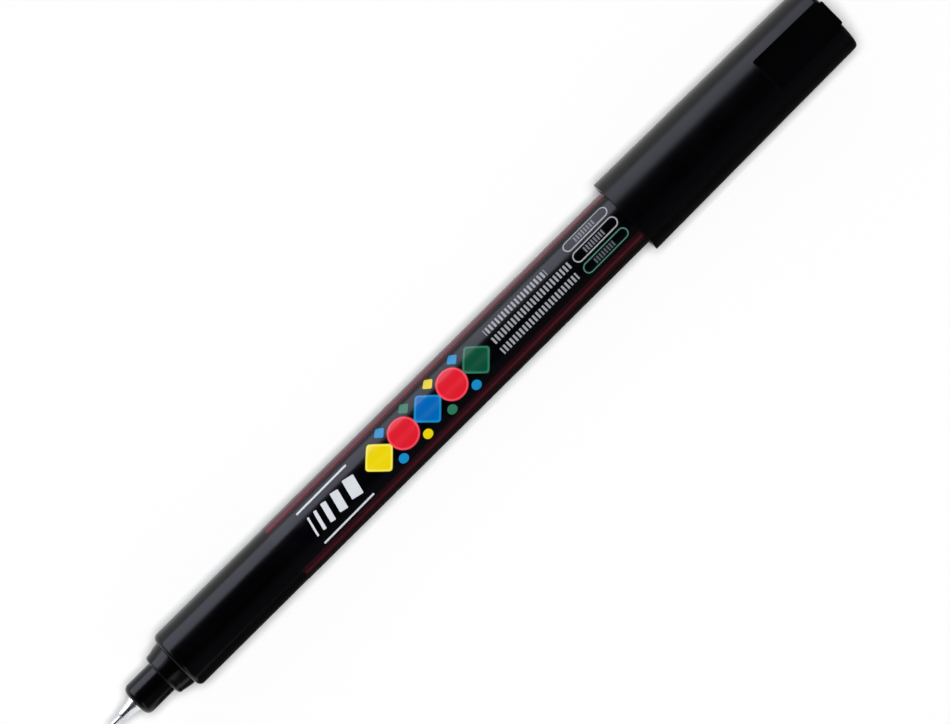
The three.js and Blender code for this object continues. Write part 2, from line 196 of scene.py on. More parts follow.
@dataclass(frozen=True)
class Ring:
    """One corner of a turned outline.

    Attributes:
        x: Place along the pen, in metres.
        r: Radius about the pen's axis, in metres.
        rounding: Radius of the corner's rounding, or 0 where it stays sharp.
    """

    x: float
    r: float
    rounding: float = 0.0

    def holds(self, point: Vector) -> bool:
        """Tells if a point lies on this ring."""
        radius = math.hypot(point.y, point.z - AXIS)
        return abs(point.x - self.x) < PLACE_TOLERANCE and abs(radius - self.r) < PLACE_TOLERANCE


def outline(front: float, *corners: tuple[float, ...]) -> list[Ring]:
    """Makes the rings of an outline from sizes in millimetres.

    Args:
        front: Where the piece starts, in metres.
        corners: For each ring its distance from the front, its radius and its rounding, if any.

    Returns:
        The rings in order.
    """
    return [Ring(front + x * MM, r * MM, (rest[0] if rest else 0) * MM) for x, r, *rest in corners]


def swelling(
    start: tuple[float, float], bend: tuple[float, float], end: tuple[float, float], steps: int
) -> list[tuple[float, float]]:
    """Samples a quadratic curve for an outline.

    Args:
        start: Where the curve starts, as distance and radius in millimetres.
        bend: The point that it bends towards.
        end: Where it ends.
        steps: How many corners it gets.

    Returns:
        The corners after the start, each as distance and radius.
    """
    corners = []
    for step in range(1, steps + 1):
        t = step / steps
        weights = ((1 - t) ** 2, 2 * t * (1 - t), t * t)
        corners.append(
            tuple(sum(w * p[i] for w, p in zip(weights, (start, bend, end))) for i in (0, 1))
        )
    return corners


def select_where(piece: bpy.types.Object, kind: str, test: Callable[[Any], bool]) -> int:
    """Selects the elements of a piece in edit mode that pass a test, and nothing else.

    Args:
        piece: The mesh object that is in edit mode.
        kind: VERT, EDGE or FACE.
        test: Says for a bmesh element if it is selected.

    Returns:
        How many elements are selected.
    """
    bpy.ops.mesh.select_mode(type=kind)
    bpy.ops.mesh.select_all(action="DESELECT")
    mesh = bmesh.from_edit_mesh(piece.data)
    elements = {"VERT": mesh.verts, "EDGE": mesh.edges, "FACE": mesh.faces}[kind]
    found = [element for element in elements if test(element)]
    for element in found:
        element.select_set(True)
    mesh.select_flush_mode()
    bmesh.update_edit_mesh(piece.data)
    return len(found)


def close_on_axis() -> None:
    """Closes the selected ring with a fan of faces to the axis."""
    bpy.ops.mesh.extrude_edges_move()
    bpy.ops.mesh.merge(type="CENTER")


def round_corners(piece: bpy.types.Object, rings: Sequence[Ring]) -> None:
    """Bevels the rings that have a rounding, all rings of one size together.

    Args:
        piece: The turned mesh object, in edit mode.
        rings: The rings that it was turned from.
    """
    for size in sorted({ring.rounding for ring in rings if ring.rounding}):
        corners = [ring for ring in rings if ring.rounding == size]
        select_where(
            piece,
            "EDGE",
            lambda edge: any(all(c.holds(v.co) for v in edge.verts) for c in corners),
        )
        segments = min(MOST_SEGMENTS, LEAST_SEGMENTS + round(size / SEGMENT_STEP))
        bpy.ops.mesh.bevel(offset=size, segments=segments, profile=0.5, affect="EDGES")


def turn(name: str, rings: Sequence[Ring], ends: Ends, sides: int = SIDES) -> bpy.types.Object:
    """Turns an outline about the pen's axis: a circle is extruded and resized from ring to ring.

    Args:
        name: The new object's name.
        rings: The outline's corners in order.
        ends: How the outline is closed.
        sides: How many sides each ring has.

    Returns:
        The new mesh object, in edit mode.
    """
    bpy.ops.object.select_all(action="DESELECT")
    first = rings[0]
    bpy.ops.mesh.primitive_circle_add(
        vertices=sides,
        radius=first.r,
        location=(first.x, 0, AXIS),
        rotation=(0, math.pi / 2, 0),
    )
    piece = bpy.context.object
    piece.name = piece.data.name = name
    bpy.ops.object.transform_apply(location=True, rotation=True, scale=True)
    bpy.ops.object.mode_set(mode="EDIT")
    bpy.ops.mesh.select_mode(type="EDGE")
    bpy.ops.mesh.select_all(action="SELECT")
    path = [*rings, first] if ends is Ends.JOINED else rings
    for before, ring in pairwise(path):
        scale = ring.r / before.r
        bpy.ops.mesh.extrude_edges_move(TRANSFORM_OT_translate={"value": (ring.x - before.x, 0, 0)})
        bpy.ops.transform.resize(value=(1, scale, scale), center_override=(ring.x, 0, AXIS))
    if ends is Ends.ON_AXIS:
        close_on_axis()
        select_where(piece, "EDGE", lambda edge: all(first.holds(v.co) for v in edge.verts))
        close_on_axis()
    bpy.ops.mesh.select_all(action="SELECT")
    bpy.ops.mesh.remove_doubles(threshold=PLACE_TOLERANCE / 4)
    bpy.ops.mesh.normals_make_consistent(inside=False)
    round_corners(piece, rings)
    return piece


def apply_modifier(piece: bpy.types.Object, kind: str, **settings: Any) -> None:
    """Adds a modifier to a piece in object mode, sets it and applies it.

    Args:
        piece: The mesh object.
        kind: The modifier's type name.
        settings: The modifier's own properties.
    """
    bpy.context.view_layer.objects.active = piece
    bpy.ops.object.modifier_add(type=kind)
    modifier = piece.modifiers[-1]
    for name, value in settings.items():
        setattr(modifier, name, value)
    bpy.ops.object.modifier_apply(modifier=modifier.name)


def block(
    centre: Sequence[float], size: Sequence[float], rounding: float, turned: float = 0.0
) -> bpy.types.Object:
    """Makes a block with rounded edges, turned about the pen's axis.

    Args:
        centre: The block's middle before it is turned, in metres.
        size: Its size along X, Y and Z, in metres.
        rounding: The radius of its edges, in metres, or 0.
        turned: The angle about the pen's axis, in degrees.

    Returns:
        The new object, in object mode.
    """
    angle = math.radians(turned)
    x, y, z = centre[0], centre[1], centre[2] - AXIS
    place = (
        x,
        y * math.cos(angle) - z * math.sin(angle),
        y * math.sin(angle) + z * math.cos(angle) + AXIS,
    )
    bpy.ops.object.select_all(action="DESELECT")
    bpy.ops.mesh.primitive_cube_add(size=1, location=place, rotation=(angle, 0, 0), scale=size)
    made = bpy.context.object
    bpy.ops.object.transform_apply(location=True, rotation=True, scale=True)
    if rounding:
        bpy.ops.object.mode_set(mode="EDIT")
        bpy.ops.mesh.select_all(action="SELECT")
        bpy.ops.mesh.bevel(offset=rounding, segments=LEAST_SEGMENTS, affect="EDGES")
        bpy.ops.object.mode_set(mode="OBJECT")
    return made


def carve(piece: bpy.types.Object, blocks: Iterable[bpy.types.Object], how: Carve) -> None:
    """Cuts blocks out of a piece or joins them on, and removes the blocks.

    Args:
        piece: The mesh object, in object mode.
        blocks: The blocks, which cross its surface.
        how: If they are cut out or joined on.
    """
    for tool in blocks:
        apply_modifier(piece, "BOOLEAN", operation=how.value, object=tool, solver="EXACT")
        bpy.data.objects.remove(tool)


def smooth(piece: bpy.types.Object) -> None:
    """Smooths a finished mesh, with its large faces leading the shading at the roundings.

    Args:
        piece: The mesh object, in object mode.
    """
    bpy.ops.object.select_all(action="DESELECT")
    piece.select_set(True)
    bpy.context.view_layer.objects.active = piece
    bpy.ops.object.shade_smooth_by_angle(angle=SMOOTH_ANGLE)
    apply_modifier(piece, "WEIGHTED_NORMAL", keep_sharp=True)


# Finishes


@dataclass(frozen=True)
class Finish:
    """A finish that pieces share, with its slot name in the record."""

    name: str
    slot: str

    def material(self) -> bpy.types.Material:
        """The finish's material, made once."""
        return bpy.data.materials.get(self.name) or self.make()

    def make(self) -> bpy.types.Material:
        """Makes the material."""
        raise NotImplementedError


@dataclass(frozen=True)
class MouldedPlastic(Finish):
    """Injection-moulded polypropylene or acetal.

    The mould leaves a faint grain that breaks up highlights, and the melt's flow leaves broad soft
    patches that are a little shinier or duller.

    Attributes:
        dark: The darker colour, as sRGB hex.
        light: The lighter colour, as sRGB hex.
        roughness: The middle roughness.
        spread: How far the roughness goes up and down.
        grain_mm: Grain size, drawn coarse enough to show.
        grain_depth_mm: Grain depth.
        patch_mm: Size of the soft patches.
        ior: Index of refraction.
        glow: Subsurface weight, for unpigmented plastic.
        glow_depth_mm: How far light spreads in unpigmented plastic.
    """

    dark: str
    light: str
    roughness: float
    spread: float = 0.05
    grain_mm: float = 0.16
    grain_depth_mm: float = 0.002
    patch_mm: float = 7.0
    ior: float = 1.49
    glow: float = 0.0
    glow_depth_mm: float = 0.6

    def make(self) -> bpy.types.Material:
        """Makes the plastic: soft patches in colour and shine under a fine grain.

        Returns:
            The new material.
        """
        material = blank_material(self.name)
        tree = material.node_tree
        place = add_node(tree, "ShaderNodeTexCoord").outputs["Object"]
        patches = add_node(
            tree,
            "ShaderNodeTexNoise",
            {"Vector": place, "Scale": per_metre(self.patch_mm), "Detail": 3.0},
        ).outputs["Fac"]
        grain = add_node(
            tree,
            "ShaderNodeTexNoise",
            {"Vector": place, "Scale": per_metre(self.grain_mm), "Detail": 2.0},
        ).outputs["Fac"]
        colour = add_node(
            tree,
            "ShaderNodeMix",
            {"Factor": patches, "A": linear(self.dark), "B": linear(self.light)},
            data_type="RGBA",
        )
        roughness = add_node(
            tree,
            "ShaderNodeMapRange",
            {
                "Value": patches,
                "From Min": NOISE_LOW,
                "From Max": NOISE_HIGH,
                "To Min": self.roughness - self.spread,
                "To Max": self.roughness + self.spread,
            },
        )
        bump = add_node(
            tree,
            "ShaderNodeBump",
            {"Height": grain, "Strength": 1.0, "Distance": self.grain_depth_mm * MM},
        )
        shader = add_node(
            tree,
            "ShaderNodeBsdfPrincipled",
            {
                "Base Color": colour.outputs["Result"],
                "Roughness": roughness.outputs["Result"],
                "Normal": bump.outputs["Normal"],
                "IOR": self.ior,
                "Subsurface Weight": self.glow,
                "Subsurface Radius": (1.0, 1.0, 1.0),
                "Subsurface Scale": self.glow_depth_mm * MM,
            },
        )
        add_node(tree, "ShaderNodeOutputMaterial", {"Surface": shader.outputs["BSDF"]})
        return material


@dataclass(frozen=True)
class DrawnSteel(Finish):
    """Stainless steel, drawn or turned and then polished.

    Fine rings run round the pen where the tool passed, so that highlights streak along it.

    Attributes:
        dark: The colour in the tool marks, as sRGB hex.
        light: The colour between them, as sRGB hex.
        roughness: The middle roughness.
        ring_mm: Spacing of the tool marks, drawn coarse enough to show.
        ring_depth_mm: Their depth.
        ring_reach: How many times longer than wide they are.
        shinier: The lowest roughness, as a share of the middle one.
        duller: The highest roughness, as a share of the middle one.
    """

    dark: str
    light: str
    roughness: float
    ring_mm: float = 0.06
    ring_depth_mm: float = 0.0006
    ring_reach: float = 60.0
    shinier: float = 0.8
    duller: float = 1.3

    def make(self) -> bpy.types.Material:
        """Makes the steel: rings of tool marks in colour, shine and relief.

        Returns:
            The new material.
        """
        material = blank_material(self.name)
        tree = material.node_tree
        place = add_node(tree, "ShaderNodeTexCoord").outputs["Object"]
        along = per_metre(self.ring_mm)
        around = along / self.ring_reach
        rings = add_node(
            tree,
            "ShaderNodeMapping",
            {"Vector": place, "Scale": (along, around, around)},
        )
        marks = add_node(
            tree,
            "ShaderNodeTexNoise",
            {"Vector": rings.outputs["Vector"], "Scale": 1.0, "Detail": 2.0},
        ).outputs["Fac"]
        colour = add_node(
            tree,
            "ShaderNodeMix",
            {"Factor": marks, "A": linear(self.dark), "B": linear(self.light)},
            data_type="RGBA",
        )
        roughness = add_node(
            tree,
            "ShaderNodeMapRange",
            {
                "Value": marks,
                "From Min": NOISE_LOW,
                "From Max": NOISE_HIGH,
                "To Min": self.roughness * self.shinier,
                "To Max": self.roughness * self.duller,
            },
        )
        bump = add_node(
            tree,
            "ShaderNodeBump",
            {"Height": marks, "Strength": 1.0, "Distance": self.ring_depth_mm * MM},
        )
        shader = add_node(
            tree,
            "ShaderNodeBsdfPrincipled",
            {
                "Base Color": colour.outputs["Result"],
                "Roughness": roughness.outputs["Result"],
                "Normal": bump.outputs["Normal"],
                "Metallic": 1.0,
            },
        )
        add_node(tree, "ShaderNodeOutputMaterial", {"Surface": shader.outputs["BSDF"]})
        return material


@dataclass(frozen=True)
class BondedFibre(Finish):
    """A rod of bonded polyester fibres that is soaked with paint.

    The fibres run along the rod, so it is matt with fine lengthwise lines.

    Attributes:
        dark: The colour between the fibres, as sRGB hex.
        light: The fibres' colour, as sRGB hex.
        fibre_mm: Fibre spacing, drawn coarse enough to show.
        fibre_reach: How many times longer than wide the lines are.
        fibre_depth_mm: Depth of the lines.
        roughness: The fibres' roughness.
    """

    dark: str
    light: str
    fibre_mm: float = 0.08
    fibre_reach: float = 40.0
    fibre_depth_mm: float = 0.01
    roughness: float = 0.85

    def make(self) -> bpy.types.Material:
        """Makes the fibre: lengthwise lines in colour and relief.

        Returns:
            The new material.
        """
        material = blank_material(self.name)
        tree = material.node_tree
        place = add_node(tree, "ShaderNodeTexCoord").outputs["Object"]
        across = per_metre(self.fibre_mm)
        lines = add_node(
            tree,
            "ShaderNodeMapping",
            {"Vector": place, "Scale": (across / self.fibre_reach, across, across)},
        )
        fibres = add_node(
            tree,
            "ShaderNodeTexNoise",
            {"Vector": lines.outputs["Vector"], "Scale": 1.0, "Detail": 3.0},
        ).outputs["Fac"]
        colour = add_node(
            tree,
            "ShaderNodeMix",
            {"Factor": fibres, "A": linear(self.dark), "B": linear(self.light)},
            data_type="RGBA",
        )
        bump = add_node(
            tree,
            "ShaderNodeBump",
            {"Height": fibres, "Strength": 1.0, "Distance": self.fibre_depth_mm * MM},
        )
        shader = add_node(
            tree,
            "ShaderNodeBsdfPrincipled",
            {
                "Base Color": colour.outputs["Result"],
                "Roughness": self.roughness,
                "Normal": bump.outputs["Normal"],
            },
        )
        add_node(tree, "ShaderNodeOutputMaterial", {"Surface": shader.outputs["BSDF"]})
        return material


@dataclass(frozen=True)
class Mark:
    """One printed mark on the unrolled film, in millimetres.

    Attributes:
        along: The middle's distance from the film's front edge.
        across: The middle's distance round the film from its top line, + towards +Y.
        length: Size along the pen, before the mark is turned.
        width: Size round the film, before the mark is turned.
        ink: The ink.
        corner: Radius of the corners.
        turned: Angle in degrees.
        line: Width of the outline, or 0 for a filled mark.
        pitch: Spacing of the ticks that the mark is cut into, or 0 for a whole mark.
        edge: How soft the edge is.
    """

    along: float
    across: float
    length: float
    width: float
    ink: Ink
    corner: float = 0.0
    turned: float = 0.0
    line: float = 0.0
    pitch: float = 0.0
    edge: float = 0.03

    def paint(
        self,
        tree: bpy.types.NodeTree,
        place: bpy.types.NodeSocket,
        under: bpy.types.NodeSocket | tuple[float, ...],
    ) -> bpy.types.NodeSocket:
        """Paints the mark over a colour.

        Args:
            tree: The film's node tree.
            place: The unrolled film's coordinates in millimetres.
            under: The colour under the mark, as a socket or a linear colour.

        Returns:
            The colour with the mark on it.
        """
        local = add_node(
            tree,
            "ShaderNodeMapping",
            {
                "Vector": place,
                "Location": (self.along, self.across, 0),
                "Rotation": (0, 0, math.radians(self.turned)),
            },
            vector_type="TEXTURE",
        ).outputs["Vector"]
        folded = add_node(tree, "ShaderNodeVectorMath", {0: local}, operation="ABSOLUTE")
        core = (self.length / 2 - self.corner, self.width / 2 - self.corner, 0)
        beyond = add_node(
            tree, "ShaderNodeVectorMath", {0: folded.outputs[0], 1: core}, operation="SUBTRACT"
        )
        outside = add_node(
            tree, "ShaderNodeVectorMath", {0: beyond.outputs[0], 1: (0, 0, 0)}, operation="MAXIMUM"
        )
        distance = add_node(
            tree, "ShaderNodeVectorMath", {0: outside.outputs[0]}, operation="LENGTH"
        ).outputs["Value"]
        reach = self.corner
        if self.line:
            middle = self.corner - self.line / 2
            distance = add_node(
                tree, "ShaderNodeMath", {0: distance, 1: middle}, operation="SUBTRACT"
            ).outputs[0]
            distance = add_node(
                tree, "ShaderNodeMath", {0: distance}, operation="ABSOLUTE"
            ).outputs[0]
            reach = self.line / 2
        cover = add_node(
            tree,
            "ShaderNodeMapRange",
            {
                "Value": distance,
                "From Min": reach - self.edge / 2,
                "From Max": reach + self.edge / 2,
                "To Min": 1.0,
                "To Max": 0.0,
            },
        ).outputs["Result"]
        if self.pitch:
            split = add_node(tree, "ShaderNodeSeparateXYZ", {"Vector": local}).outputs["X"]
            wave = add_node(
                tree, "ShaderNodeMath", {0: split, 1: self.pitch / 2}, operation="PINGPONG"
            ).outputs[0]
            tick = add_node(
                tree,
                "ShaderNodeMapRange",
                {
                    "Value": wave,
                    "From Min": self.pitch / 4 - self.edge / 2,
                    "From Max": self.pitch / 4 + self.edge / 2,
                },
            ).outputs["Result"]
            cover = add_node(
                tree, "ShaderNodeMath", {0: cover, 1: tick}, operation="MULTIPLY"
            ).outputs[0]
        mixed = add_node(
            tree,
            "ShaderNodeMix",
            {"Factor": cover, "A": under, "B": linear(self.ink.value)},
            data_type="RGBA",
        )
        return mixed.outputs["Result"]


@dataclass(frozen=True)
class PrintedFilm(Finish):
    """Clear shrink film that is printed black and coloured on its inner side.

    Its face is glossy and a little wavy, and the print lies slightly askew, because the film
    turned as it shrank.

    Attributes:
        ground: The black print's colour, as sRGB hex.
        front: The film's front edge, in metres.
        radius_mm: The film's radius.
        lean: How far the print drifts round the film for each millimetre along it.
        marks: The printed marks.
        roughness: The face's roughness.
        spread: How far the roughness goes up and down.
        wave_mm: Size of the waves in the face.
        wave_depth_mm: Their depth.
        ior: Index of refraction, below a film's usual 1.5 to match how dark the face stays.
    """

    ground: str
    front: float
    radius_mm: float
    lean: float
    marks: tuple[Mark, ...]
    roughness: float = 0.21
    spread: float = 0.04
    wave_mm: float = 3.5
    wave_depth_mm: float = 0.006
    ior: float = 1.33

    def unrolled(self, tree: bpy.types.NodeTree) -> bpy.types.NodeSocket:
        """Coordinates on the unrolled film: millimetres along it and round it from its top.

        Args:
            tree: The film's node tree.

        Returns:
            Millimetres behind the film's front edge as X, and round it towards +Y as Y.
        """
        place = add_node(tree, "ShaderNodeTexCoord").outputs["Object"]
        scaled = add_node(
            tree,
            "ShaderNodeMapping",
            {
                "Vector": place,
                "Location": (-self.front / MM, 0, -AXIS / MM),
                "Scale": (1 / MM, 1 / MM, 1 / MM),
            },
        )
        split = add_node(tree, "ShaderNodeSeparateXYZ", {"Vector": scaled.outputs["Vector"]})
        along, side, up = (split.outputs[axis] for axis in "XYZ")
        angle = add_node(tree, "ShaderNodeMath", {0: side, 1: up}, operation="ARCTAN2")
        drift = add_node(tree, "ShaderNodeMath", {0: along, 1: self.lean}, operation="MULTIPLY")
        across = add_node(
            tree,
            "ShaderNodeMath",
            {0: angle.outputs[0], 1: self.radius_mm},
            operation="MULTIPLY",
        )
        straight = add_node(
            tree,
            "ShaderNodeMath",
            {0: across.outputs[0], 1: drift.outputs[0]},
            operation="SUBTRACT",
        )
        return add_node(
            tree, "ShaderNodeCombineXYZ", {"X": along, "Y": straight.outputs[0]}
        ).outputs["Vector"]

    def make(self) -> bpy.types.Material:
        """Makes the film: each mark is painted over the last, under one wavy gloss.

        Returns:
            The new material.
        """
        material = blank_material(self.name)
        tree = material.node_tree
        unrolled = self.unrolled(tree)
        colour = linear(self.ground)
        for mark in self.marks:
            colour = mark.paint(tree, unrolled, colour)
        place = add_node(tree, "ShaderNodeTexCoord").outputs["Object"]
        waves = add_node(
            tree,
            "ShaderNodeTexNoise",
            {"Vector": place, "Scale": per_metre(self.wave_mm), "Detail": 1.0},
        ).outputs["Fac"]
        bump = add_node(
            tree,
            "ShaderNodeBump",
            {"Height": waves, "Strength": 1.0, "Distance": self.wave_depth_mm * MM},
        )
        roughness = add_node(
            tree,
            "ShaderNodeMapRange",
            {
                "Value": waves,
                "From Min": NOISE_LOW,
                "From Max": NOISE_HIGH,
                "To Min": self.roughness - self.spread,
                "To Max": self.roughness + self.spread,
            },
        )
        shader = add_node(
            tree,
            "ShaderNodeBsdfPrincipled",
            {
                "Base Color": colour,
                "Roughness": roughness.outputs["Result"],
                "Normal": bump.outputs["Normal"],
                "IOR": self.ior,
            },
        )
        add_node(tree, "ShaderNodeOutputMaterial", {"Surface": shader.outputs["BSDF"]})
        return material


def pinstripes() -> list[Mark]:
    """Two thin lines along the film, each on a soft dark band of the same ink.

    The line and band on the -Y side are painted darker, as painted shade on the marker's shaded
    side.

    Returns:
        The four marks, with each band before its line.
    """
    film, margin = 95.0, 0.4
    stripe = {"along": film / 2, "length": film - 2 * margin}
    return [
        Mark(across=5.75, width=2.1, edge=0.7, ink=Ink.DEEP_CRIMSON, **stripe),
        Mark(across=5.45, width=0.6, edge=0.25, ink=Ink.CRIMSON, **stripe),
        # The -Y line and band: the same crimsons, painted darker as painted shade on the shaded
        # side.
        Mark(across=-5.15, width=1.9, edge=0.7, ink=Ink.DARK_CRIMSON, **stripe),
        Mark(across=-5.15, width=0.5, edge=0.3, ink=Ink.DULL_CRIMSON, **stripe),
    ]


def line_samples() -> list[Mark]:
    """Slanted bars of growing width between two rules, as for a row of line widths.

    Returns:
        The rules and then the bars.
    """
    rules, rule_middle, rule_length, rule_width = (3.3, -3.4), 11.2, 11.0, 0.38
    bars = ((6.25, 0.35), (7.75, 0.6), (9.6, 1.0), (12.0, 1.5), (15.05, 2.1))
    bar_middle, bar_height, slant = -0.1, 3.4, -14
    return [
        *(
            Mark(rule_middle, across, rule_length, rule_width, Ink.WHITE, corner=0.1)
            for across in rules
        ),
        *(
            Mark(along, bar_middle, width, bar_height, Ink.WHITE, corner=0.15, turned=slant)
            for along, width in bars
        ),
    ]


def motifs() -> list[Mark]:
    """A row of large discs and lozenges, each in two shades of an ink, with small ones between.

    Returns:
        The marks, with each pale rim before its darker middle.
    """
    large = (
        (Ink.PALE_YELLOW, Ink.YELLOW),
        (Ink.PALE_RED, Ink.RED),
        (Ink.PALE_BLUE, Ink.BLUE),
        (Ink.PALE_RED, Ink.RED),
        (Ink.PALE_GREEN, Ink.GREEN),
    )
    small = (Ink.PALE_BLUE, Ink.PALE_GREEN, Ink.YELLOW, Ink.PALE_BLUE)
    spacing, first, middle = 5.4, 21.2, 0.15
    disc, lozenge, rim, bend = 5.3, 4.3, 0.32, 0.5
    beside, small_disc, small_lozenge, small_bend = 2.95, 1.7, 1.6, 0.25
    marks = []
    for index, inks in enumerate(large):
        along = first + spacing * index
        for ink, inset in zip(inks, (0.0, rim)):
            if index % 2:
                size = disc - 2 * inset
                marks.append(Mark(along, middle, size, size, ink, corner=size / 2, edge=0.15))
            else:
                size = lozenge - 2 * inset
                corner = bend - inset / 2
                marks.append(Mark(along, middle, size, size, ink, corner, 45, edge=0.15))
    for index, (ink, other) in enumerate(zip(small, reversed(small))):
        along = first + spacing * (index + 0.5)
        size = small_lozenge
        marks.append(Mark(along, middle + beside, size, size, ink, small_bend, 45))
        size = small_disc
        marks.append(Mark(along, middle - beside, size, size, other, size / 2))
    return marks


def scales_and_fields() -> list[Mark]:
    """Three rows of ticks, then three long round-ended fields with ticks in each.

    Returns:
        The rows, and then each field with its ticks.
    """
    rows = ((2.2, 13.5), (0.2, 17.1), (-1.9, 16.7))
    fields = (
        (2.55, Ink.GREY, Ink.GREY),
        (0.1, Ink.GREY, Ink.GREY),
        (-2.35, Ink.SOFT_GREEN, Ink.DIM_GREY),
    )
    first, row_height, row_pitch = 46.65, 1.15, 0.72
    middle, length, height, line = 69.3, 9.4, 1.95, 0.2
    shift, tick_row, tick_height, tick_pitch = -0.3, 4.4, 0.9, 0.55
    marks = [
        Mark(first + row / 2, across, row, row_height, Ink.WHITE, pitch=row_pitch, edge=0.12)
        for across, row in rows
    ]
    for across, ink, ticks in fields:
        marks.append(
            Mark(middle, across, length, height, ink, corner=height / 2, line=line, edge=0.1)
        )
        marks.append(
            Mark(
                middle + shift, across, tick_row, tick_height, ticks, pitch=tick_pitch, edge=0.15
            )
        )
    return marks


def film_marks() -> tuple[Mark, ...]:
    """The film's print, all of it generic."""
    return (*pinstripes(), *line_samples(), *motifs(), *scales_and_fields())


# Black polypropylene from a polished mould: a clean soft streak of each lamp on a face that is
# otherwise nearly black. Its index lies below polypropylene's 1.49, to match how dark it stays.
GLOSS_BLACK = MouldedPlastic(
    "black_polypropylene_semi_gloss",
    "black_polypropylene",
    "010102",
    "030304",
    0.21,
    spread=0.03,
    grain_depth_mm=0.001,
    ior=1.31,
)
# Black polypropylene from a finely blasted mould: the same streaks, broader and duller.
SATIN_BLACK = MouldedPlastic(
    "black_polypropylene_satin",
    "satin_black_polypropylene",
    "010102",
    "030304",
    0.29,
    spread=0.03,
    grain_mm=0.2,
    grain_depth_mm=0.002,
    ior=1.3,
)
# Polypropylene without pigment: milky, because light goes in and scatters.
MILKY = MouldedPlastic(
    "natural_polypropylene",
    "milky_polypropylene",
    "D3D5D6",
    "E4E5E4",
    0.45,
    glow=0.25,
)
# Moulded acetal: a denser, warmer white with a soft shine.
ACETAL = MouldedPlastic("white_acetal", "white_acetal", "D8D6CD", "ECEAE2", 0.38, ior=1.48)
# Stainless steel: the ball is polished and mirrors, the sleeve is drawn and palely satin, and the
# spring's wire is drawn and a little greyer.
POLISHED_STEEL = DrawnSteel("stainless_steel_drawn", "stainless_steel", "C2C4C8", "D6D8DB", 0.16)
SATIN_STEEL = DrawnSteel("stainless_steel_satin", "stainless_steel", "DCDEE0", "E8E9EB", 0.24)
SPRING_STEEL = DrawnSteel("stainless_spring_wire", "stainless_steel", "B4B6BA", "C8CACD", 0.24)
# Polyester fibre full of black paint: matt and dark, with fine lengthwise lines.
SOAKED_FIBRE = BondedFibre("polyester_fibre_soaked", "wick_fibre", "08080A", "26262A")


# Sub-assemblies


class SubAssembly:
    """Pieces that ride on one body. Each subclass holds their sizes and builds them."""

    body: Body

    def dress(self, piece: bpy.types.Object, node: str, finish: Finish) -> bpy.types.Object:
        """Smooths a piece, gives it its finish and its body, and hides the CAD node that it stands
        for.

        Args:
            piece: The finished mesh object.
            node: The CAD node at whose place it is.
            finish: The finish that it gets.

        Returns:
            The piece.
        """
        if bpy.context.mode != "OBJECT":
            bpy.ops.object.mode_set(mode="OBJECT")
        smooth(piece)
        piece.data.materials.clear()
        piece.data.materials.append(finish.material())
        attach(piece, self.body.value)
        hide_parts(node)
        faces = len(piece.data.polygons)
        log.info("%s stands for %s: %d faces, %s", piece.name, node, faces, finish.name)
        return piece


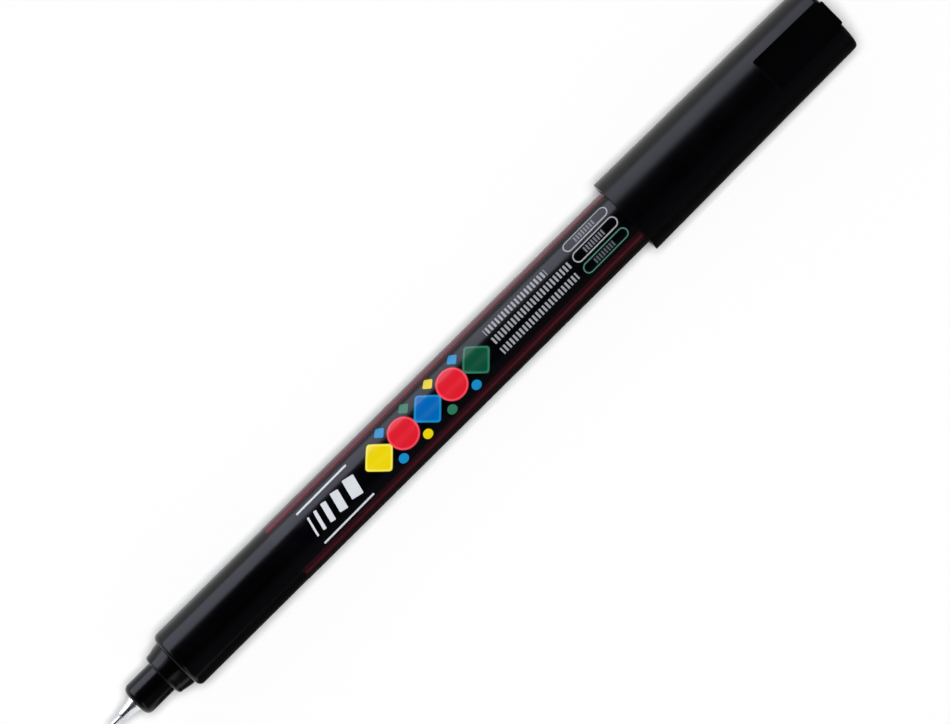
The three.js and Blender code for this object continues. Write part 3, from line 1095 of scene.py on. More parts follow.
@dataclass
class Tip(SubAssembly):
    """The sprung tip: nib, metal sleeve, slider, wick and valve plunger. Sizes in millimetres."""

    body = Body.TIP
    nib_radius: float = 0.35
    nib_neck: float = 3.1
    nib_root_radius: float = 0.62
    pipe_bore: float = 0.39
    pipe_radius: float = 0.5
    pipe_length: float = 1.7
    cone_start: float = 2.1
    cone_front_radius: float = 0.86
    cone_length: float = 2.9
    cone_radius: float = 1.45
    cone_waist: float = 0.55
    nose_wall: float = 1.1
    stem_radius: float = 1.15
    root_bore: float = 0.72
    groove_width: float = 0.7
    groove_depth: float = 0.4
    grooves: int = 3
    stem_bore: float = 1.23
    stem_depth: float = 4.4
    wick_bore: float = 0.98
    wick_radius: float = 0.9
    guide_radius: float = 2.03
    guide_end: float = 6.9
    waist_radius: float = 1.7
    waist_end: float = 10.1
    foot_radius: float = 2.5
    disc_radius: float = 2.2
    disc_length: float = 0.5
    rod_radius: float = 1.0
    face_start: float = 3.52
    face_radius: float = 1.4
    face_end: float = 5.02
    head_radius: float = 2.4
    head_end: float = 5.82
    tail_radius: float = 0.8
    dome_steps: int = 6
    flare_steps: int = 10

    def nib(self) -> bpy.types.Object:
        """Plastic pin with a domed end and a thicker root.

        Returns:
            The nib's mesh object.
        """
        low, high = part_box("nib")
        length = (high.x - low.x) / MM
        dome = [
            (
                self.nib_radius * (1 - math.cos(math.pi / 2 * step / self.dome_steps)),
                self.nib_radius * math.sin(math.pi / 2 * step / self.dome_steps),
            )
            for step in range(1, self.dome_steps + 1)
        ]
        rings = outline(
            low.x,
            *dome,
            (self.nib_neck, self.nib_radius),
            (self.nib_neck + self.nib_root_radius, self.nib_root_radius),
            (length, self.nib_root_radius, 0.1),
        )
        return turn("pin_nib", rings, Ends.ON_AXIS, FINE_SIDES)

    def sleeve(self) -> bpy.types.Object:
        """Drawn metal sleeve: fine pipe, flared cone, band in the nose's hole and stem.

        Returns:
            The sleeve's mesh object.
        """
        low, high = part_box("tip_sleeve")
        length = (high.x - low.x) / MM
        cone_end = self.cone_start + self.cone_length
        gain = (self.cone_radius - self.cone_front_radius) * (1 - self.cone_waist) ** 2
        flare = swelling(
            (self.cone_start, self.cone_front_radius),
            (self.cone_start + self.cone_length * self.cone_waist, self.cone_front_radius + gain),
            (cone_end, self.cone_radius),
            self.flare_steps,
        )
        band_end = cone_end + self.nose_wall
        rings = outline(
            low.x,
            (0, self.pipe_bore, 0.02),
            (0, self.pipe_radius, 0.06),
            (self.pipe_length, self.pipe_radius, 0.1),
            (self.cone_start, self.cone_front_radius, 0.12),
            *flare,
            (band_end, self.cone_radius, 0.05),
            (band_end, self.stem_radius),
            (length, self.stem_radius),
            (length, self.root_bore),
            (self.cone_start + self.root_bore - self.pipe_bore, self.root_bore),
            (self.cone_start, self.pipe_bore),
        )
        return turn("drawn_sleeve", rings, Ends.JOINED)

    def slider(self) -> bpy.types.Object:
        """Slider with air grooves along its guide and a foot that pushes the valve open.

        Returns:
            The slider's mesh object.
        """
        low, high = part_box("tip_holder")
        length = (high.x - low.x) / MM
        rings = outline(
            low.x,
            (0, self.stem_bore, 0.1),
            (0, self.guide_radius, 0.15),
            (self.guide_end, self.guide_radius, 0.1),
            (self.guide_end, self.waist_radius, 0.1),
            (self.waist_end, self.waist_radius, 0.1),
            (self.waist_end, self.foot_radius, 0.1),
            (length, self.foot_radius, 0.15),
            (length, self.wick_bore, 0.08),
            (self.stem_depth, self.wick_bore),
            (self.stem_depth, self.stem_bore),
        )
        piece = turn("tip_slider", rings, Ends.JOINED)
        bpy.ops.object.mode_set(mode="OBJECT")
        floor = self.guide_radius - self.groove_depth
        top = self.foot_radius + self.groove_depth
        carve(piece, self.grooving(low.x, (-0.5, length + 0.5), (floor, top)), Carve.CUT)
        return piece

    def grooving(
        self, front: float, along: tuple[float, float], radii: tuple[float, float]
    ) -> list[bpy.types.Object]:
        """Blocks that cut the paint grooves.

        Args:
            front: The piece's front end, in metres.
            along: Where the grooves start and end behind it, in millimetres.
            radii: The blocks' lowest and highest distance from the pen's axis, in millimetres.

        Returns:
            The blocks, evenly spaced round the pen.
        """
        centre = (front + sum(along) / 2 * MM, 0, AXIS + sum(radii) / 2 * MM)
        size = ((along[1] - along[0]) * MM, self.groove_width * MM, (radii[1] - radii[0]) * MM)
        return [block(centre, size, 0, 360 * i / self.grooves) for i in range(self.grooves)]

    def wick(self) -> bpy.types.Object:
        """Fibre rod with slightly rounded ends.

        Returns:
            The wick's mesh object.
        """
        low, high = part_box("relay_wick")
        length = (high.x - low.x) / MM
        rings = outline(low.x, (0, self.wick_radius, 0.1), (length, self.wick_radius, 0.1))
        return turn("wick_rod", rings, Ends.ON_AXIS, FINE_SIDES)

    def plunger(self) -> bpy.types.Object:
        """Valve plunger: notched disc, rod, conical head and guided tail.

        Returns:
            The plunger's mesh object.
        """
        low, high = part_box("valve_stem")
        length = (high.x - low.x) / MM
        rings = outline(
            low.x,
            (0, self.disc_radius, 0.1),
            (self.disc_length, self.disc_radius, 0.1),
            (self.disc_length, self.rod_radius),
            (self.face_start, self.rod_radius),
            (self.face_start, self.face_radius, 0.05),
            (self.face_end, self.head_radius, 0.05),
            (self.head_end, self.head_radius, 0.1),
            (self.head_end, self.tail_radius, 0.1),
            (length, self.tail_radius, 0.15),
        )
        piece = turn("valve_plunger", rings, Ends.ON_AXIS)
        bpy.ops.object.mode_set(mode="OBJECT")
        reach = (self.rod_radius + 0.1, self.disc_radius + 0.7)
        carve(piece, self.grooving(low.x, (-0.2, self.disc_length + 0.1), reach), Carve.CUT)
        return piece

    def build(self) -> None:
        """Builds the tip's pieces and dresses them."""
        self.dress(self.nib(), "nib", ACETAL)
        self.dress(self.sleeve(), "tip_sleeve", SATIN_STEEL)
        self.dress(self.slider(), "tip_holder", MILKY)
        self.dress(self.wick(), "relay_wick", SOAKED_FIBRE)
        self.dress(self.plunger(), "valve_stem", ACETAL)


@dataclass
class ReturnSpring(SubAssembly):
    """The spring that shuts the valve. Its front end moves with the tip. Sizes in millimetres."""

    body = Body.TIP
    wire_radius: float = 0.2
    coil_radius: float = 1.65
    open_turns: int = 6
    end_gap: float = 0.05
    steps: int = 40
    wire_sides: int = 14

    def stretch(self, start: float, turns: int, pitch: float) -> bpy.types.Object:
        """Winds a stretch of wire with one pitch.

        Args:
            start: Where the wire's middle starts along the pen, in metres.
            turns: How many whole turns it makes.
            pitch: How far it goes along the pen in each turn, in metres.

        Returns:
            The wound wire, open at both ends.
        """
        bpy.ops.object.select_all(action="DESELECT")
        bpy.ops.mesh.primitive_circle_add(
            vertices=self.wire_sides, radius=self.wire_radius * MM, location=(start, 0, AXIS)
        )
        wire = bpy.context.object
        bpy.ops.object.mode_set(mode="EDIT")
        bpy.ops.mesh.select_all(action="SELECT")
        bpy.ops.transform.translate(value=(0, self.coil_radius * MM, 0))
        bpy.ops.object.mode_set(mode="OBJECT")
        apply_modifier(
            wire,
            "SCREW",
            axis="X",
            steps=self.steps,
            render_steps=self.steps,
            iterations=turns,
            screw_offset=pitch,
        )
        bpy.ops.object.transform_apply(location=True, rotation=True, scale=True)
        return wire

    def spring(self) -> bpy.types.Object:
        """A closed turn at each end and open turns between them, joined to one wire.

        Returns:
            The spring's mesh object.
        """
        low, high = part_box("valve_spring")
        closed = 2 * (self.wire_radius + self.end_gap) * MM
        start, end = low.x + self.wire_radius * MM, high.x - self.wire_radius * MM
        pitch = (end - start - 2 * closed) / self.open_turns
        wires = [
            self.stretch(start, 1, closed),
            self.stretch(start + closed, self.open_turns, pitch),
            self.stretch(end - closed, 1, closed),
        ]
        bpy.ops.object.select_all(action="DESELECT")
        for wire in wires:
            wire.select_set(True)
        piece = wires[0]
        bpy.context.view_layer.objects.active = piece
        bpy.ops.object.join()
        piece.name = piece.data.name = "coil_spring"
        bpy.ops.object.mode_set(mode="EDIT")
        bpy.ops.mesh.select_all(action="SELECT")
        bpy.ops.mesh.remove_doubles(threshold=PLACE_TOLERANCE)
        select_where(piece, "EDGE", lambda edge: edge.is_boundary)
        bpy.ops.mesh.edge_face_add()
        bpy.ops.mesh.select_all(action="SELECT")
        bpy.ops.mesh.normals_make_consistent(inside=False)
        return piece

    def build(self) -> None:
        """Builds the spring, dresses it and gives it a mesh of its own."""
        piece = self.dress(self.spring(), "valve_spring", SPRING_STEEL)
        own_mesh(piece)


@dataclass
class ForeBarrel(SubAssembly):
    """The nose with the fixed parts of the valve in it. Sizes in millimetres."""

    body = Body.BARREL
    nose_radius: float = 2.93
    nose_length: float = 6.0
    nose_edge: float = 1.15
    hole_radius: float = 1.65
    front_wall: float = 1.1
    guide_radius: float = 2.23
    guide_end: float = 9.2
    chamber_radius: float = 2.8
    collar_front_radius: float = 3.88
    collar_radius: float = 4.36
    collar_edge: float = 0.5
    collar_bulge: float = 0.06
    collar_end: float = 9.1
    spigot_radius: float = 4.07
    seat_bore: float = 3.35
    ring_hole: float = 1.6
    ring_mouth: float = 2.4
    ring_cone: float = 1.2
    basket_wall: float = 0.52
    basket_end_wall: float = 1.2
    basket_hole: float = 1.0
    window_width: float = 2.2
    window_front: float = 4.5
    window_length: float = 6.0
    window_corner: float = 0.2
    bulge_steps: int = 8

    def nose(self) -> bpy.types.Object:
        """Fore-barrel: rounded front edge, swelling collar and the spigot in the barrel.

        Returns:
            The fore-barrel's mesh object.
        """
        low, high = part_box("nose")
        length = (high.x - low.x) / MM
        seat = (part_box("valve_seat")[0].x - low.x) / MM
        collar_top = self.nose_length + self.collar_edge
        bulge = swelling(
            (collar_top, self.collar_front_radius),
            (
                (collar_top + self.collar_end) / 2,
                (self.collar_front_radius + self.collar_radius) / 2 + self.collar_bulge,
            ),
            (self.collar_end, self.collar_radius),
            self.bulge_steps,
        )
        rings = outline(
            low.x,
            (0, self.hole_radius, 0.1),
            (0, self.nose_radius, self.nose_edge),
            (self.nose_length, self.nose_radius, 0.08),
            (self.nose_length, self.collar_front_radius, self.collar_edge),
            *bulge[:-1],
            (*bulge[-1], 0.08),
            (self.collar_end, self.spigot_radius, 0.05),
            (length, self.spigot_radius, 0.3),
            (length, self.seat_bore),
            (seat, self.seat_bore),
            (seat, self.chamber_radius),
            (self.guide_end, self.chamber_radius),
            (self.guide_end, self.guide_radius),
            (self.front_wall, self.guide_radius),
            (self.front_wall, self.hole_radius),
        )
        return turn("nose_moulding", rings, Ends.JOINED)

    def valve_ring(self) -> bpy.types.Object:
        """Fixed ring with the cone that the valve's head closes.

        Returns:
            The ring's mesh object.
        """
        low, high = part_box("valve_seat")
        length, radius = (high.x - low.x) / MM, (high.z - AXIS) / MM
        rings = outline(
            low.x,
            (0, self.ring_hole, 0.1),
            (0, radius, 0.1),
            (length, radius, 0.1),
            (length, self.ring_mouth, 0.05),
            (length - self.ring_cone, self.ring_hole),
        )
        return turn("valve_ring", rings, Ends.JOINED)

    def basket(self) -> bpy.types.Object:
        """Slotted basket that holds the spring and guides the plunger's tail.

        Returns:
            The basket's mesh object.
        """
        low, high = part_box("valve_cage")
        length, radius = (high.x - low.x) / MM, (high.z - AXIS) / MM
        bore = radius - self.basket_wall
        rings = outline(
            low.x,
            (0, bore, 0.05),
            (0, radius, 0.1),
            (length, radius, 0.3),
            (length, self.basket_hole, 0.1),
            (length - self.basket_end_wall, self.basket_hole),
            (length - self.basket_end_wall, bore),
        )
        piece = turn("valve_basket", rings, Ends.JOINED)
        bpy.ops.object.mode_set(mode="OBJECT")
        middle = low.x + (self.window_front + self.window_length / 2) * MM
        size = (self.window_length * MM, self.window_width * MM, 2 * self.seat_bore * MM)
        corner = self.window_corner * MM
        windows = [block((middle, 0, AXIS), size, corner, angle) for angle in (0, 90)]
        carve(piece, windows, Carve.CUT)
        return piece

    def build(self) -> None:
        """Builds the fore-barrel's pieces and dresses them."""
        self.dress(self.nose(), "nose", GLOSS_BLACK)
        self.dress(self.valve_ring(), "valve_seat", MILKY)
        self.dress(self.basket(), "valve_cage", MILKY)


@dataclass
class Reservoir(SubAssembly):
    """Barrel, printed film and tail plug. Sizes in millimetres."""

    body = Body.BARREL
    bore: float = 4.15
    shoulder_length: float = 0.95
    shoulder_height: float = 0.78
    shoulder_steps: int = 10
    film_gap: float = 0.01
    film_ground: str = "030305"
    film_lean: float = 0.01054
    plug_spigot_radius: float = 4.07
    plug_head: float = 1.2
    plug_wall: float = 1.0
    plug_floor: float = 1.4

    def barrel(self) -> bpy.types.Object:
        """Plain tube whose front end has an elliptical shoulder.

        Returns:
            The barrel's mesh object.
        """
        low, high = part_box("barrel")
        length, radius = (high.x - low.x) / MM, (high.z - AXIS) / MM
        foot = radius - self.shoulder_height
        shoulder = [
            (
                self.shoulder_length * (1 - math.cos(math.pi / 2 * step / self.shoulder_steps)),
                foot + self.shoulder_height * math.sin(math.pi / 2 * step / self.shoulder_steps),
            )
            for step in range(self.shoulder_steps + 1)
        ]
        rings = outline(
            low.x, (0, self.bore), *shoulder, (length, radius, 0.1), (length, self.bore)
        )
        return turn("barrel_tube", rings, Ends.JOINED)

    def film(self) -> bpy.types.Object:
        """Thin sleeve shrunk round the barrel.

        Returns:
            The film's mesh object.
        """
        low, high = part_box("print_film")
        length, radius = (high.x - low.x) / MM, (high.z - AXIS) / MM
        inner = (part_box("barrel")[1].z - AXIS) / MM + self.film_gap
        rings = outline(low.x, (0, inner), (0, radius), (length, radius), (length, inner))
        return turn("film_sleeve", rings, Ends.JOINED)

    def plug(self) -> bpy.types.Object:
        """Hollow plug with a head as wide as the barrel.

        Returns:
            The plug's mesh object.
        """
        low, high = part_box("tail_plug")
        length, radius = (high.x - low.x) / MM, (high.z - AXIS) / MM
        hollow = self.plug_spigot_radius - self.plug_wall
        neck = length - self.plug_head
        rings = outline(
            low.x,
            (length - self.plug_floor, hollow, 0.2),
            (0, hollow, 0.1),
            (0, self.plug_spigot_radius, 0.3),
            (neck, self.plug_spigot_radius),
            (neck, radius, 0.1),
            (length, radius, 0.25),
        )
        return turn("tail_plug_moulding", rings, Ends.ON_AXIS)

    def build(self) -> None:
        """Builds the reservoir's pieces and dresses them."""
        film_low, film_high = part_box("print_film")
        printed = PrintedFilm(
            "shrink_film_printed",
            "printed_film",
            self.film_ground,
            film_low.x,
            (film_high.z - AXIS) / MM,
            self.film_lean,
            film_marks(),
        )
        self.dress(self.barrel(), "barrel", GLOSS_BLACK)
        self.dress(self.film(), "print_film", printed)
        self.dress(self.plug(), "tail_plug", GLOSS_BLACK)


@dataclass
class Ball(SubAssembly):
    """The loose ball that stirs the paint."""

    body = Body.BALL
    cuts: int = 15

    def ball(self) -> bpy.types.Object:
        """A cube that is subdivided, drawn out to a sphere and brought to the ball's radius.

        Returns:
            The ball's mesh object.
        """
        low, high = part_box("mixing_ball")
        centre, radius = (low + high) / 2, (high.y - low.y) / 2
        bpy.ops.object.select_all(action="DESELECT")
        bpy.ops.mesh.primitive_cube_add(size=2 * radius, location=centre)
        piece = bpy.context.object
        piece.name = piece.data.name = "steel_ball"
        bpy.ops.object.transform_apply(location=True, rotation=True, scale=True)
        bpy.ops.object.mode_set(mode="EDIT")
        bpy.ops.mesh.select_all(action="SELECT")
        bpy.ops.mesh.subdivide(number_cuts=self.cuts)
        bpy.ops.transform.tosphere(value=1.0)
        reach = max((v.co - centre).length for v in bmesh.from_edit_mesh(piece.data).verts)
        scale = radius / reach
        bpy.ops.transform.resize(value=(scale, scale, scale), center_override=centre)
        return piece

    def build(self) -> None:
        """Builds the ball and dresses it."""
        self.dress(self.ball(), "mixing_ball", POLISHED_STEEL)


@dataclass
class Cap(SubAssembly):
    """The posted cap with its seal cup. Sizes in millimetres, lengths from the cap's mouth."""

    body = Body.CAP
    length: float = 45.21
    mouth_radius: float = 7.07
    end_radius: float = 6.63
    end_edge: float = 0.8
    bore: float = 5.7
    bore_depth: float = 23.84
    inner_bore: float = 4.95
    end_wall: float = 1.3
    lead_in: float = 0.3
    ribs: int = 6
    rib_width: float = 0.8
    rib_start: float = 2.0
    rib_length: float = 19.0
    rib_top: float = 5.535
    rib_edge: float = 0.05
    flat_height: float = 5.95
    flat_length: float = 13.92
    flat_edge: float = 0.12
    step_edge: float = 0.35
    land_width: float = 4.8
    land_depth: float = 4.5
    land_proud: float = 0.28
    land_edge: float = 0.26
    seal_bore: float = 3.05
    seal_wall: float = 1.0
    seal_rim: float = 2.0
    seal_lead_in: float = 0.6
    tip_room_front: float = 6.0
    tip_room_end: float = 14.0
    tip_room_radius: float = 2.2

    def shell(self) -> bpy.types.Object:
        """Tapered cup with grip ribs in its bore, a planar flat and a land at its closed end.

        Returns:
            The cap's mesh object.
        """
        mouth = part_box("cap_shell")[0].x
        end_inside = self.length - self.end_wall
        rings = outline(
            mouth,
            (end_inside, self.inner_bore, 0.3),
            (self.bore_depth, self.inner_bore, 0.1),
            (self.bore_depth, self.bore, 0.1),
            (self.lead_in, self.bore),
            (0, self.bore + self.lead_in),
            (0, self.mouth_radius, 0.12),
            (self.length, self.end_radius, self.end_edge),
        )
        piece = turn("cap_moulding", rings, Ends.ON_AXIS)
        bpy.ops.object.mode_set(mode="OBJECT")
        carve(piece, [*self.rib_blocks(mouth), self.land_block(mouth)], Carve.ADD)
        carve(piece, [self.flat_block(mouth)], Carve.CUT)
        self.soften_flat(piece, mouth)
        return piece

    def rib_blocks(self, mouth: float) -> list[bpy.types.Object]:
        """The grip ribs, which reach halfway into the cap's wall.

        Args:
            mouth: Where the cap's mouth is, in metres.

        Returns:
            A block for each rib, evenly spaced round the bore.
        """
        root = (self.bore + self.mouth_radius) / 2
        centre = (
            mouth + (self.rib_start + self.rib_length / 2) * MM,
            0,
            AXIS + (self.rib_top + root) / 2 * MM,
        )
        size = (self.rib_length * MM, self.rib_width * MM, (root - self.rib_top) * MM)
        edge, first = self.rib_edge * MM, 180 / self.ribs
        return [block(centre, size, edge, first + 360 * i / self.ribs) for i in range(self.ribs)]

    def land_block(self, mouth: float) -> bpy.types.Object:
        """The land at the closed end, taller than the flat until that is cut.

        Args:
            mouth: Where the cap's mouth is, in metres.

        Returns:
            The land's block.
        """
        front, rear = self.length - self.end_wall / 2, self.length + self.land_proud
        bottom = self.flat_height - self.land_depth
        top = self.flat_height + 1
        centre = (mouth + (front + rear) / 2 * MM, 0, AXIS + (bottom + top) / 2 * MM)
        size = ((rear - front) * MM, self.land_width * MM, (top - bottom) * MM)
        return block(centre, size, self.land_edge * MM)

    def flat_block(self, mouth: float) -> bpy.types.Object:
        """What is cut away over the flat.

        Args:
            mouth: Where the cap's mouth is, in metres.

        Returns:
            The block to cut with.
        """
        front = self.length - self.flat_length
        width = 2 * self.mouth_radius
        centre = (
            mouth + (front + self.flat_length) * MM,
            0,
            AXIS + (self.flat_height + self.mouth_radius / 2) * MM,
        )
        return block(centre, (2 * self.flat_length * MM, width * MM, self.mouth_radius * MM), 0)

    def soften_flat(self, piece: bpy.types.Object, mouth: float) -> None:
        """Rounds the top edge of the step in front of the flat, and then the flat's own edges.

        Args:
            piece: The cap's mesh object, in object mode.
            mouth: Where the cap's mouth is, in metres.
        """
        level = AXIS + self.flat_height * MM
        step = mouth + (self.length - self.flat_length) * MM
        rounding = mouth + (self.length - self.end_edge) * MM
        land_side = self.land_width / 2 * MM

        def tops_step(edge: bmesh.types.BMEdge) -> bool:
            """Tells if an edge is the step's outer edge.

            Args:
                edge: An edge of the cap.

            Returns:
                If it lies on the step's wall, above the flat.
            """
            wall = all(abs(v.co.x - step) < PLACE_TOLERANCE for v in edge.verts)
            above = all(v.co.z > level - PLACE_TOLERANCE for v in edge.verts)
            floor = all(abs(v.co.z - level) < PLACE_TOLERANCE for v in edge.verts)
            return wall and above and not floor

        def bounds_flat(edge: bmesh.types.BMEdge) -> bool:
            """Tells if an edge is on one of the flat's long sides or on the land's top border.

            Args:
                edge: An edge of the cap.

            Returns:
                If it is and the faces meet there at an angle.
            """
            flat = all(abs(v.co.z - level) < PLACE_TOLERANCE for v in edge.verts)
            foot = all(abs(v.co.x - step) < PLACE_TOLERANCE for v in edge.verts)
            side = all(v.co.x < rounding + PLACE_TOLERANCE for v in edge.verts)
            land = all(
                v.co.x > rounding and abs(v.co.y) < land_side + PLACE_TOLERANCE for v in edge.verts
            )
            sharp = len(edge.link_faces) == 2 and edge.calc_face_angle(0.0) > SHARP_ANGLE
            return flat and sharp and not foot and (side or land)

        bpy.ops.object.mode_set(mode="EDIT")
        for test, size in ((tops_step, self.step_edge), (bounds_flat, self.flat_edge)):
            if select_where(piece, "EDGE", test):
                bpy.ops.mesh.bevel(offset=size * MM, segments=LEAST_SEGMENTS + 1, affect="EDGES")
        bpy.ops.object.mode_set(mode="OBJECT")

    def seal(self) -> bpy.types.Object:
        """Spool-shaped cup: a bore that closes on the nose and a narrower room for the tip.

        Returns:
            The seal cup's mesh object.
        """
        low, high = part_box("inner_cap")
        length, rim = (high.x - low.x) / MM, (high.z - AXIS) / MM
        waist = self.seal_bore + self.seal_wall
        rings = outline(
            low.x,
            (self.tip_room_end, self.tip_room_radius, 0.3),
            (self.tip_room_front, self.tip_room_radius, 0.1),
            (self.tip_room_front, self.seal_bore),
            (self.seal_lead_in, self.seal_bore, 0.1),
            (0, self.seal_bore + self.seal_lead_in, 0.1),
            (0, rim, 0.15),
            (self.seal_rim, rim, 0.15),
            (self.seal_rim, waist, 0.1),
            (length - self.seal_rim, waist, 0.1),
            (length - self.seal_rim, rim, 0.15),
            (length, rim, 0.15),
        )
        return turn("seal_cup", rings, Ends.ON_AXIS)

    def build(self) -> None:
        """Builds the cap's pieces and dresses them."""
        self.dress(self.shell(), "cap_shell", SATIN_BLACK)
        self.dress(self.seal(), "inner_cap", MILKY)


# Studio


@dataclass(frozen=True)
class Softbox:
    """A rectangular lamp.

    Attributes:
        name: The lamp's name.
        place: Its middle, in metres.
        aim: The point that it faces, in metres.
        size: Width and height, in metres.
        radiance: How bright its face is, where 1 is white.
        colour: Its colour, as sRGB hex.
        mirrored: If it shows in glossy surfaces.
        lighting: If it lights matt surfaces.
    """

    name: str
    place: tuple[float, float, float]
    aim: tuple[float, float, float]
    size: tuple[float, float]
    radiance: float
    colour: str = "FFFFFF"
    mirrored: bool = True
    lighting: bool = True

    def build(self) -> None:
        """Adds the lamp, which the camera doesn't see."""
        bpy.ops.object.light_add(type="AREA", location=self.place)
        lamp = bpy.context.object
        lamp.name = lamp.data.name = self.name
        lamp.data.shape = "RECTANGLE"
        lamp.data.size, lamp.data.size_y = self.size
        lamp.data.color = linear(self.colour)[:3]
        lamp.data.energy = self.radiance * math.pi * self.size[0] * self.size[1]
        direction = Vector(self.aim) - Vector(self.place)
        lamp.rotation_euler = direction.to_track_quat("-Z", "Y").to_euler()
        lamp.visible_camera = False
        lamp.visible_glossy = self.mirrored
        lamp.visible_diffuse = self.lighting


@dataclass
class Studio:
    """Pale floor, soft boxes, cards and a dim room.

    One softbox lights everything from straight above. The other only shows as the long highlight
    on the marker's +Y side.

    Attributes:
        floor_size: Width of the floor, in metres.
        floor_colour: The paper's colour, as sRGB hex.
        board_roughness: Roughness of the paper and of the dark card.
        board_gloss: Their specular level.
        tooth_mm: Size of the paper's tooth.
        tooth_depth_mm: Its depth.
        card_distance: How far the cards beside the tip stand from the marker's axis, in metres.
        card_gap: How far in front of the steel sleeve they end, in metres.
        card_width: Their width along the marker, in metres.
        card_height: Their height, in metres.
        card_radiance: How bright they are, where 1 is white.
        reflection_sheet_front: Where the dark card beside the barrel, a painted dark reflection,
            starts, in metres.
        reflection_sheet_rear: Where it ends.
        reflection_sheet_near: How far from the marker's axis it starts.
        reflection_sheet_far: How far from the axis it ends.
        reflection_sheet_height: How high it lies over the paper.
        reflection_sheet_colour: Its colour, as sRGB hex: the shade that the painted dark reflection
            shows.
        room_colour: The walls' colour, as sRGB hex.
        room_level: How bright the room's walls are. Overhead it is black.
        wall_top: The height at which the walls end, as the sine of its elevation.
        wall_blur: How far the walls fade out below and above that height.
        softboxes: The lamps with a place of their own.
    """

    floor_size: float = 6.0
    floor_colour: str = "F8F8F8"
    board_roughness: float = 0.9
    board_gloss: float = 0.1
    tooth_mm: float = 0.4
    tooth_depth_mm: float = 0.002
    card_distance: float = 0.03
    card_gap: float = 0.0035
    card_width: float = 0.022
    card_height: float = 0.05
    card_radiance: float = 0.95
    reflection_sheet_front: float = -0.0735
    reflection_sheet_rear: float = 0.15
    reflection_sheet_near: float = 0.0074
    reflection_sheet_far: float = 0.4
    reflection_sheet_height: float = 0.0003
    reflection_sheet_colour: str = "3C3C3C"
    room_colour: str = "EEF0FF"
    room_level: float = 0.11
    wall_top: float = 0.79
    wall_blur: float = 0.08
    softboxes: tuple[Softbox, ...] = field(
        default_factory=lambda: (
            Softbox(
                "highlight",
                (-0.13, 0.62, 0.29),
                (-0.13, 0, 0),
                (0.7, 0.54),
                4.2,
                "E9EAFF",
                lighting=False,
            ),
            Softbox("overhead", (0, 0, 1.4), (0, 0, 0), (0.5, 0.5), 26.0, mirrored=False),
        )
    )

    def board(self, name: str, colour: str, tooth_depth_mm: float) -> bpy.types.Material:
        """Matt paper or card, without a shine and with a fine tooth.

        Args:
            name: The material's name.
            colour: Its colour, as sRGB hex.
            tooth_depth_mm: Depth of the tooth, or 0 for a smooth card.

        Returns:
            The new material.
        """
        material = blank_material(name)
        tree = material.node_tree
        place = add_node(tree, "ShaderNodeTexCoord").outputs["Object"]
        tooth = add_node(
            tree,
            "ShaderNodeTexNoise",
            {"Vector": place, "Scale": per_metre(self.tooth_mm), "Detail": 2.0},
        ).outputs["Fac"]
        bump = add_node(
            tree,
            "ShaderNodeBump",
            {"Height": tooth, "Strength": 1.0, "Distance": tooth_depth_mm * MM},
        )
        shader = add_node(
            tree,
            "ShaderNodeBsdfPrincipled",
            {
                "Base Color": linear(colour),
                "Roughness": self.board_roughness,
                "Specular IOR Level": self.board_gloss,
                "Normal": bump.outputs["Normal"],
            },
        )
        add_node(tree, "ShaderNodeOutputMaterial", {"Surface": shader.outputs["BSDF"]})
        return material

    def floor(self) -> None:
        """Adds the white paper that the marker lies on."""
        bpy.ops.object.select_all(action="DESELECT")
        bpy.ops.mesh.primitive_plane_add(size=self.floor_size, location=(0, 0, 0))
        floor = bpy.context.object
        floor.name = floor.data.name = "paper_floor"
        paper = self.board("white_paper", self.floor_colour, self.tooth_depth_mm)
        floor.data.materials.append(paper)

    def painted_dark_reflection(self) -> None:
        """Adds a dark card that lies beside the marker and that only its glossy flank sees.

        It keeps the paper's mirror image off that flank, which stays nearly black: a painted dark
        reflection that stands in for shade. It casts no shadow, lights nothing and the camera
        doesn't see it.
        """
        middle = ((self.reflection_sheet_front + self.reflection_sheet_rear) / 2, -(self.reflection_sheet_near + self.reflection_sheet_far) / 2)
        size = (self.reflection_sheet_rear - self.reflection_sheet_front, self.reflection_sheet_far - self.reflection_sheet_near)
        bpy.ops.object.select_all(action="DESELECT")
        bpy.ops.mesh.primitive_plane_add(size=1, location=(*middle, self.reflection_sheet_height))
        bpy.ops.transform.resize(value=(*size, 1))
        painted_dark_reflection = bpy.context.object
        painted_dark_reflection.name = painted_dark_reflection.data.name = "painted_dark_reflection_sheet"
        bpy.ops.object.transform_apply(location=True, rotation=True, scale=True)
        # Only glossy rays see this sheet: a painted dark reflection of shade on the marker's flank.
        painted_dark_reflection.visible_camera = False
        painted_dark_reflection.visible_diffuse = False
        painted_dark_reflection.visible_shadow = False
        painted_dark_reflection.data.materials.append(self.board("painted_dark_reflection_board", self.reflection_sheet_colour, 0))

    def cards(self) -> list[Softbox]:
        """White cards on both sides of the tip, which only the flared steel sleeve mirrors.

        Returns:
            The two cards, as softboxes that light nothing.
        """
        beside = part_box("tip_sleeve")[0].x - self.card_gap - self.card_width / 2
        middle = AXIS + self.card_height / 2
        return [
            Softbox(
                f"card_{name}",
                (beside, side * self.card_distance, middle),
                (beside, 0, middle),
                (self.card_width, self.card_height),
                self.card_radiance,
                lighting=False,
            )
            for name, side in (("left", 1), ("right", -1))
        ]

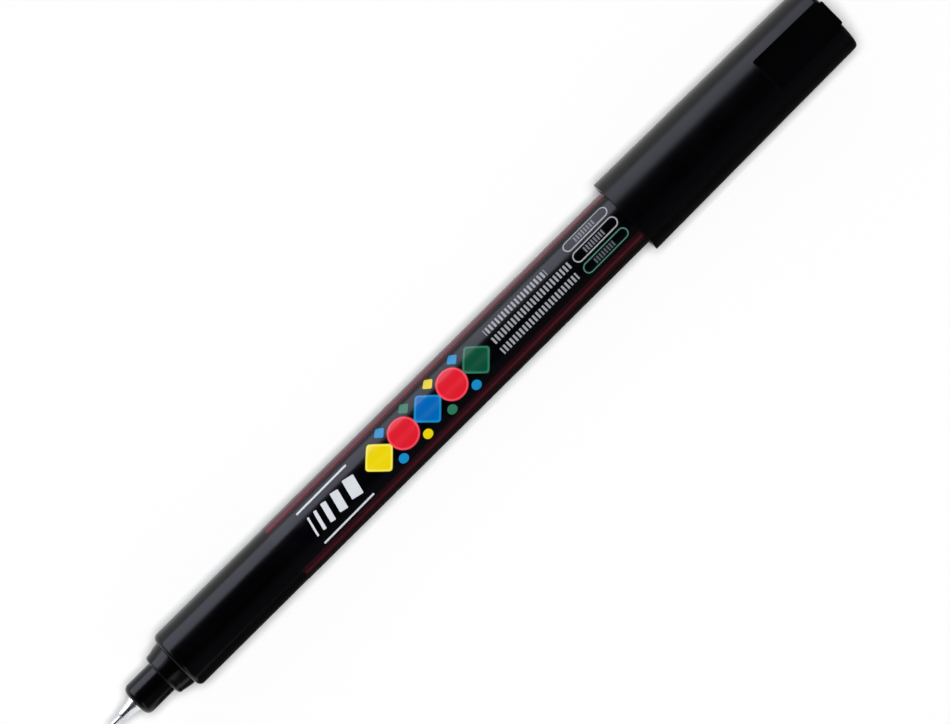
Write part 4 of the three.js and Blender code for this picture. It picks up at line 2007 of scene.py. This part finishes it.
    def room(self) -> None:
        """The dim room round the table."""
        world = bpy.data.worlds.new("dim_room")
        world.use_nodes = True
        tree = world.node_tree
        tree.nodes.clear()
        direction = add_node(tree, "ShaderNodeTexCoord").outputs["Generated"]
        height = add_node(tree, "ShaderNodeSeparateXYZ", {"Vector": direction}).outputs["Z"]
        walls = add_node(
            tree,
            "ShaderNodeMapRange",
            {
                "Value": height,
                "From Min": self.wall_top - self.wall_blur,
                "From Max": self.wall_top + self.wall_blur,
                "To Min": self.room_level,
                "To Max": 0.0,
            },
        ).outputs["Result"]
        light = add_node(
            tree,
            "ShaderNodeBackground",
            {"Color": linear(self.room_colour), "Strength": walls},
        )
        add_node(tree, "ShaderNodeOutputWorld", {"Surface": light.outputs["Background"]})
        bpy.context.scene.world = world

    def build(self) -> None:
        """Builds the floor, the painted dark reflection sheet, the room and the lamps."""
        self.floor()
        self.painted_dark_reflection()
        self.room()
        for softbox in (*self.softboxes, *self.cards()):
            softbox.build()
        bpy.context.scene.view_settings.view_transform = "Standard"


@dataclass
class TopCamera:
    """The camera looks straight down, turned so that the marker lies across the frame's diagonal.

    Attributes:
        x: Place along the marker, in metres.
        y: Place beside the marker's axis, in metres.
        distance: Height over the marker's axis, in metres.
        turned: Angle about the vertical, in degrees.
        view_width: Width of the frame at the marker's axis, in metres.
        sensor: Sensor width in millimetres.
    """

    x: float = 0.00171
    y: float = 0.00044
    distance: float = 1.0
    turned: float = -44.765
    view_width: float = 0.14956
    sensor: float = 36.0

    def build(self) -> None:
        """Adds the camera and makes it the scene's."""
        bpy.ops.object.camera_add(
            location=(self.x, self.y, AXIS + self.distance),
            rotation=(0, 0, math.radians(self.turned)),
        )
        camera = bpy.context.object
        camera.name = camera.data.name = "top_camera"
        camera.data.sensor_width = self.sensor
        camera.data.lens = self.sensor * self.distance / self.view_width
        bpy.context.scene.camera = camera


def main() -> None:
    """Builds the marker, the studio and the camera."""
    logging.basicConfig(level=logging.INFO, format="%(name)s: %(message)s")
    sub_assemblies = (Tip(), ReturnSpring(), ForeBarrel(), Reservoir(), Ball(), Cap())
    for sub_assembly in sub_assemblies:
        sub_assembly.build()
    Studio().build()
    TopCamera().build()


if __name__ == "__main__":
    main()
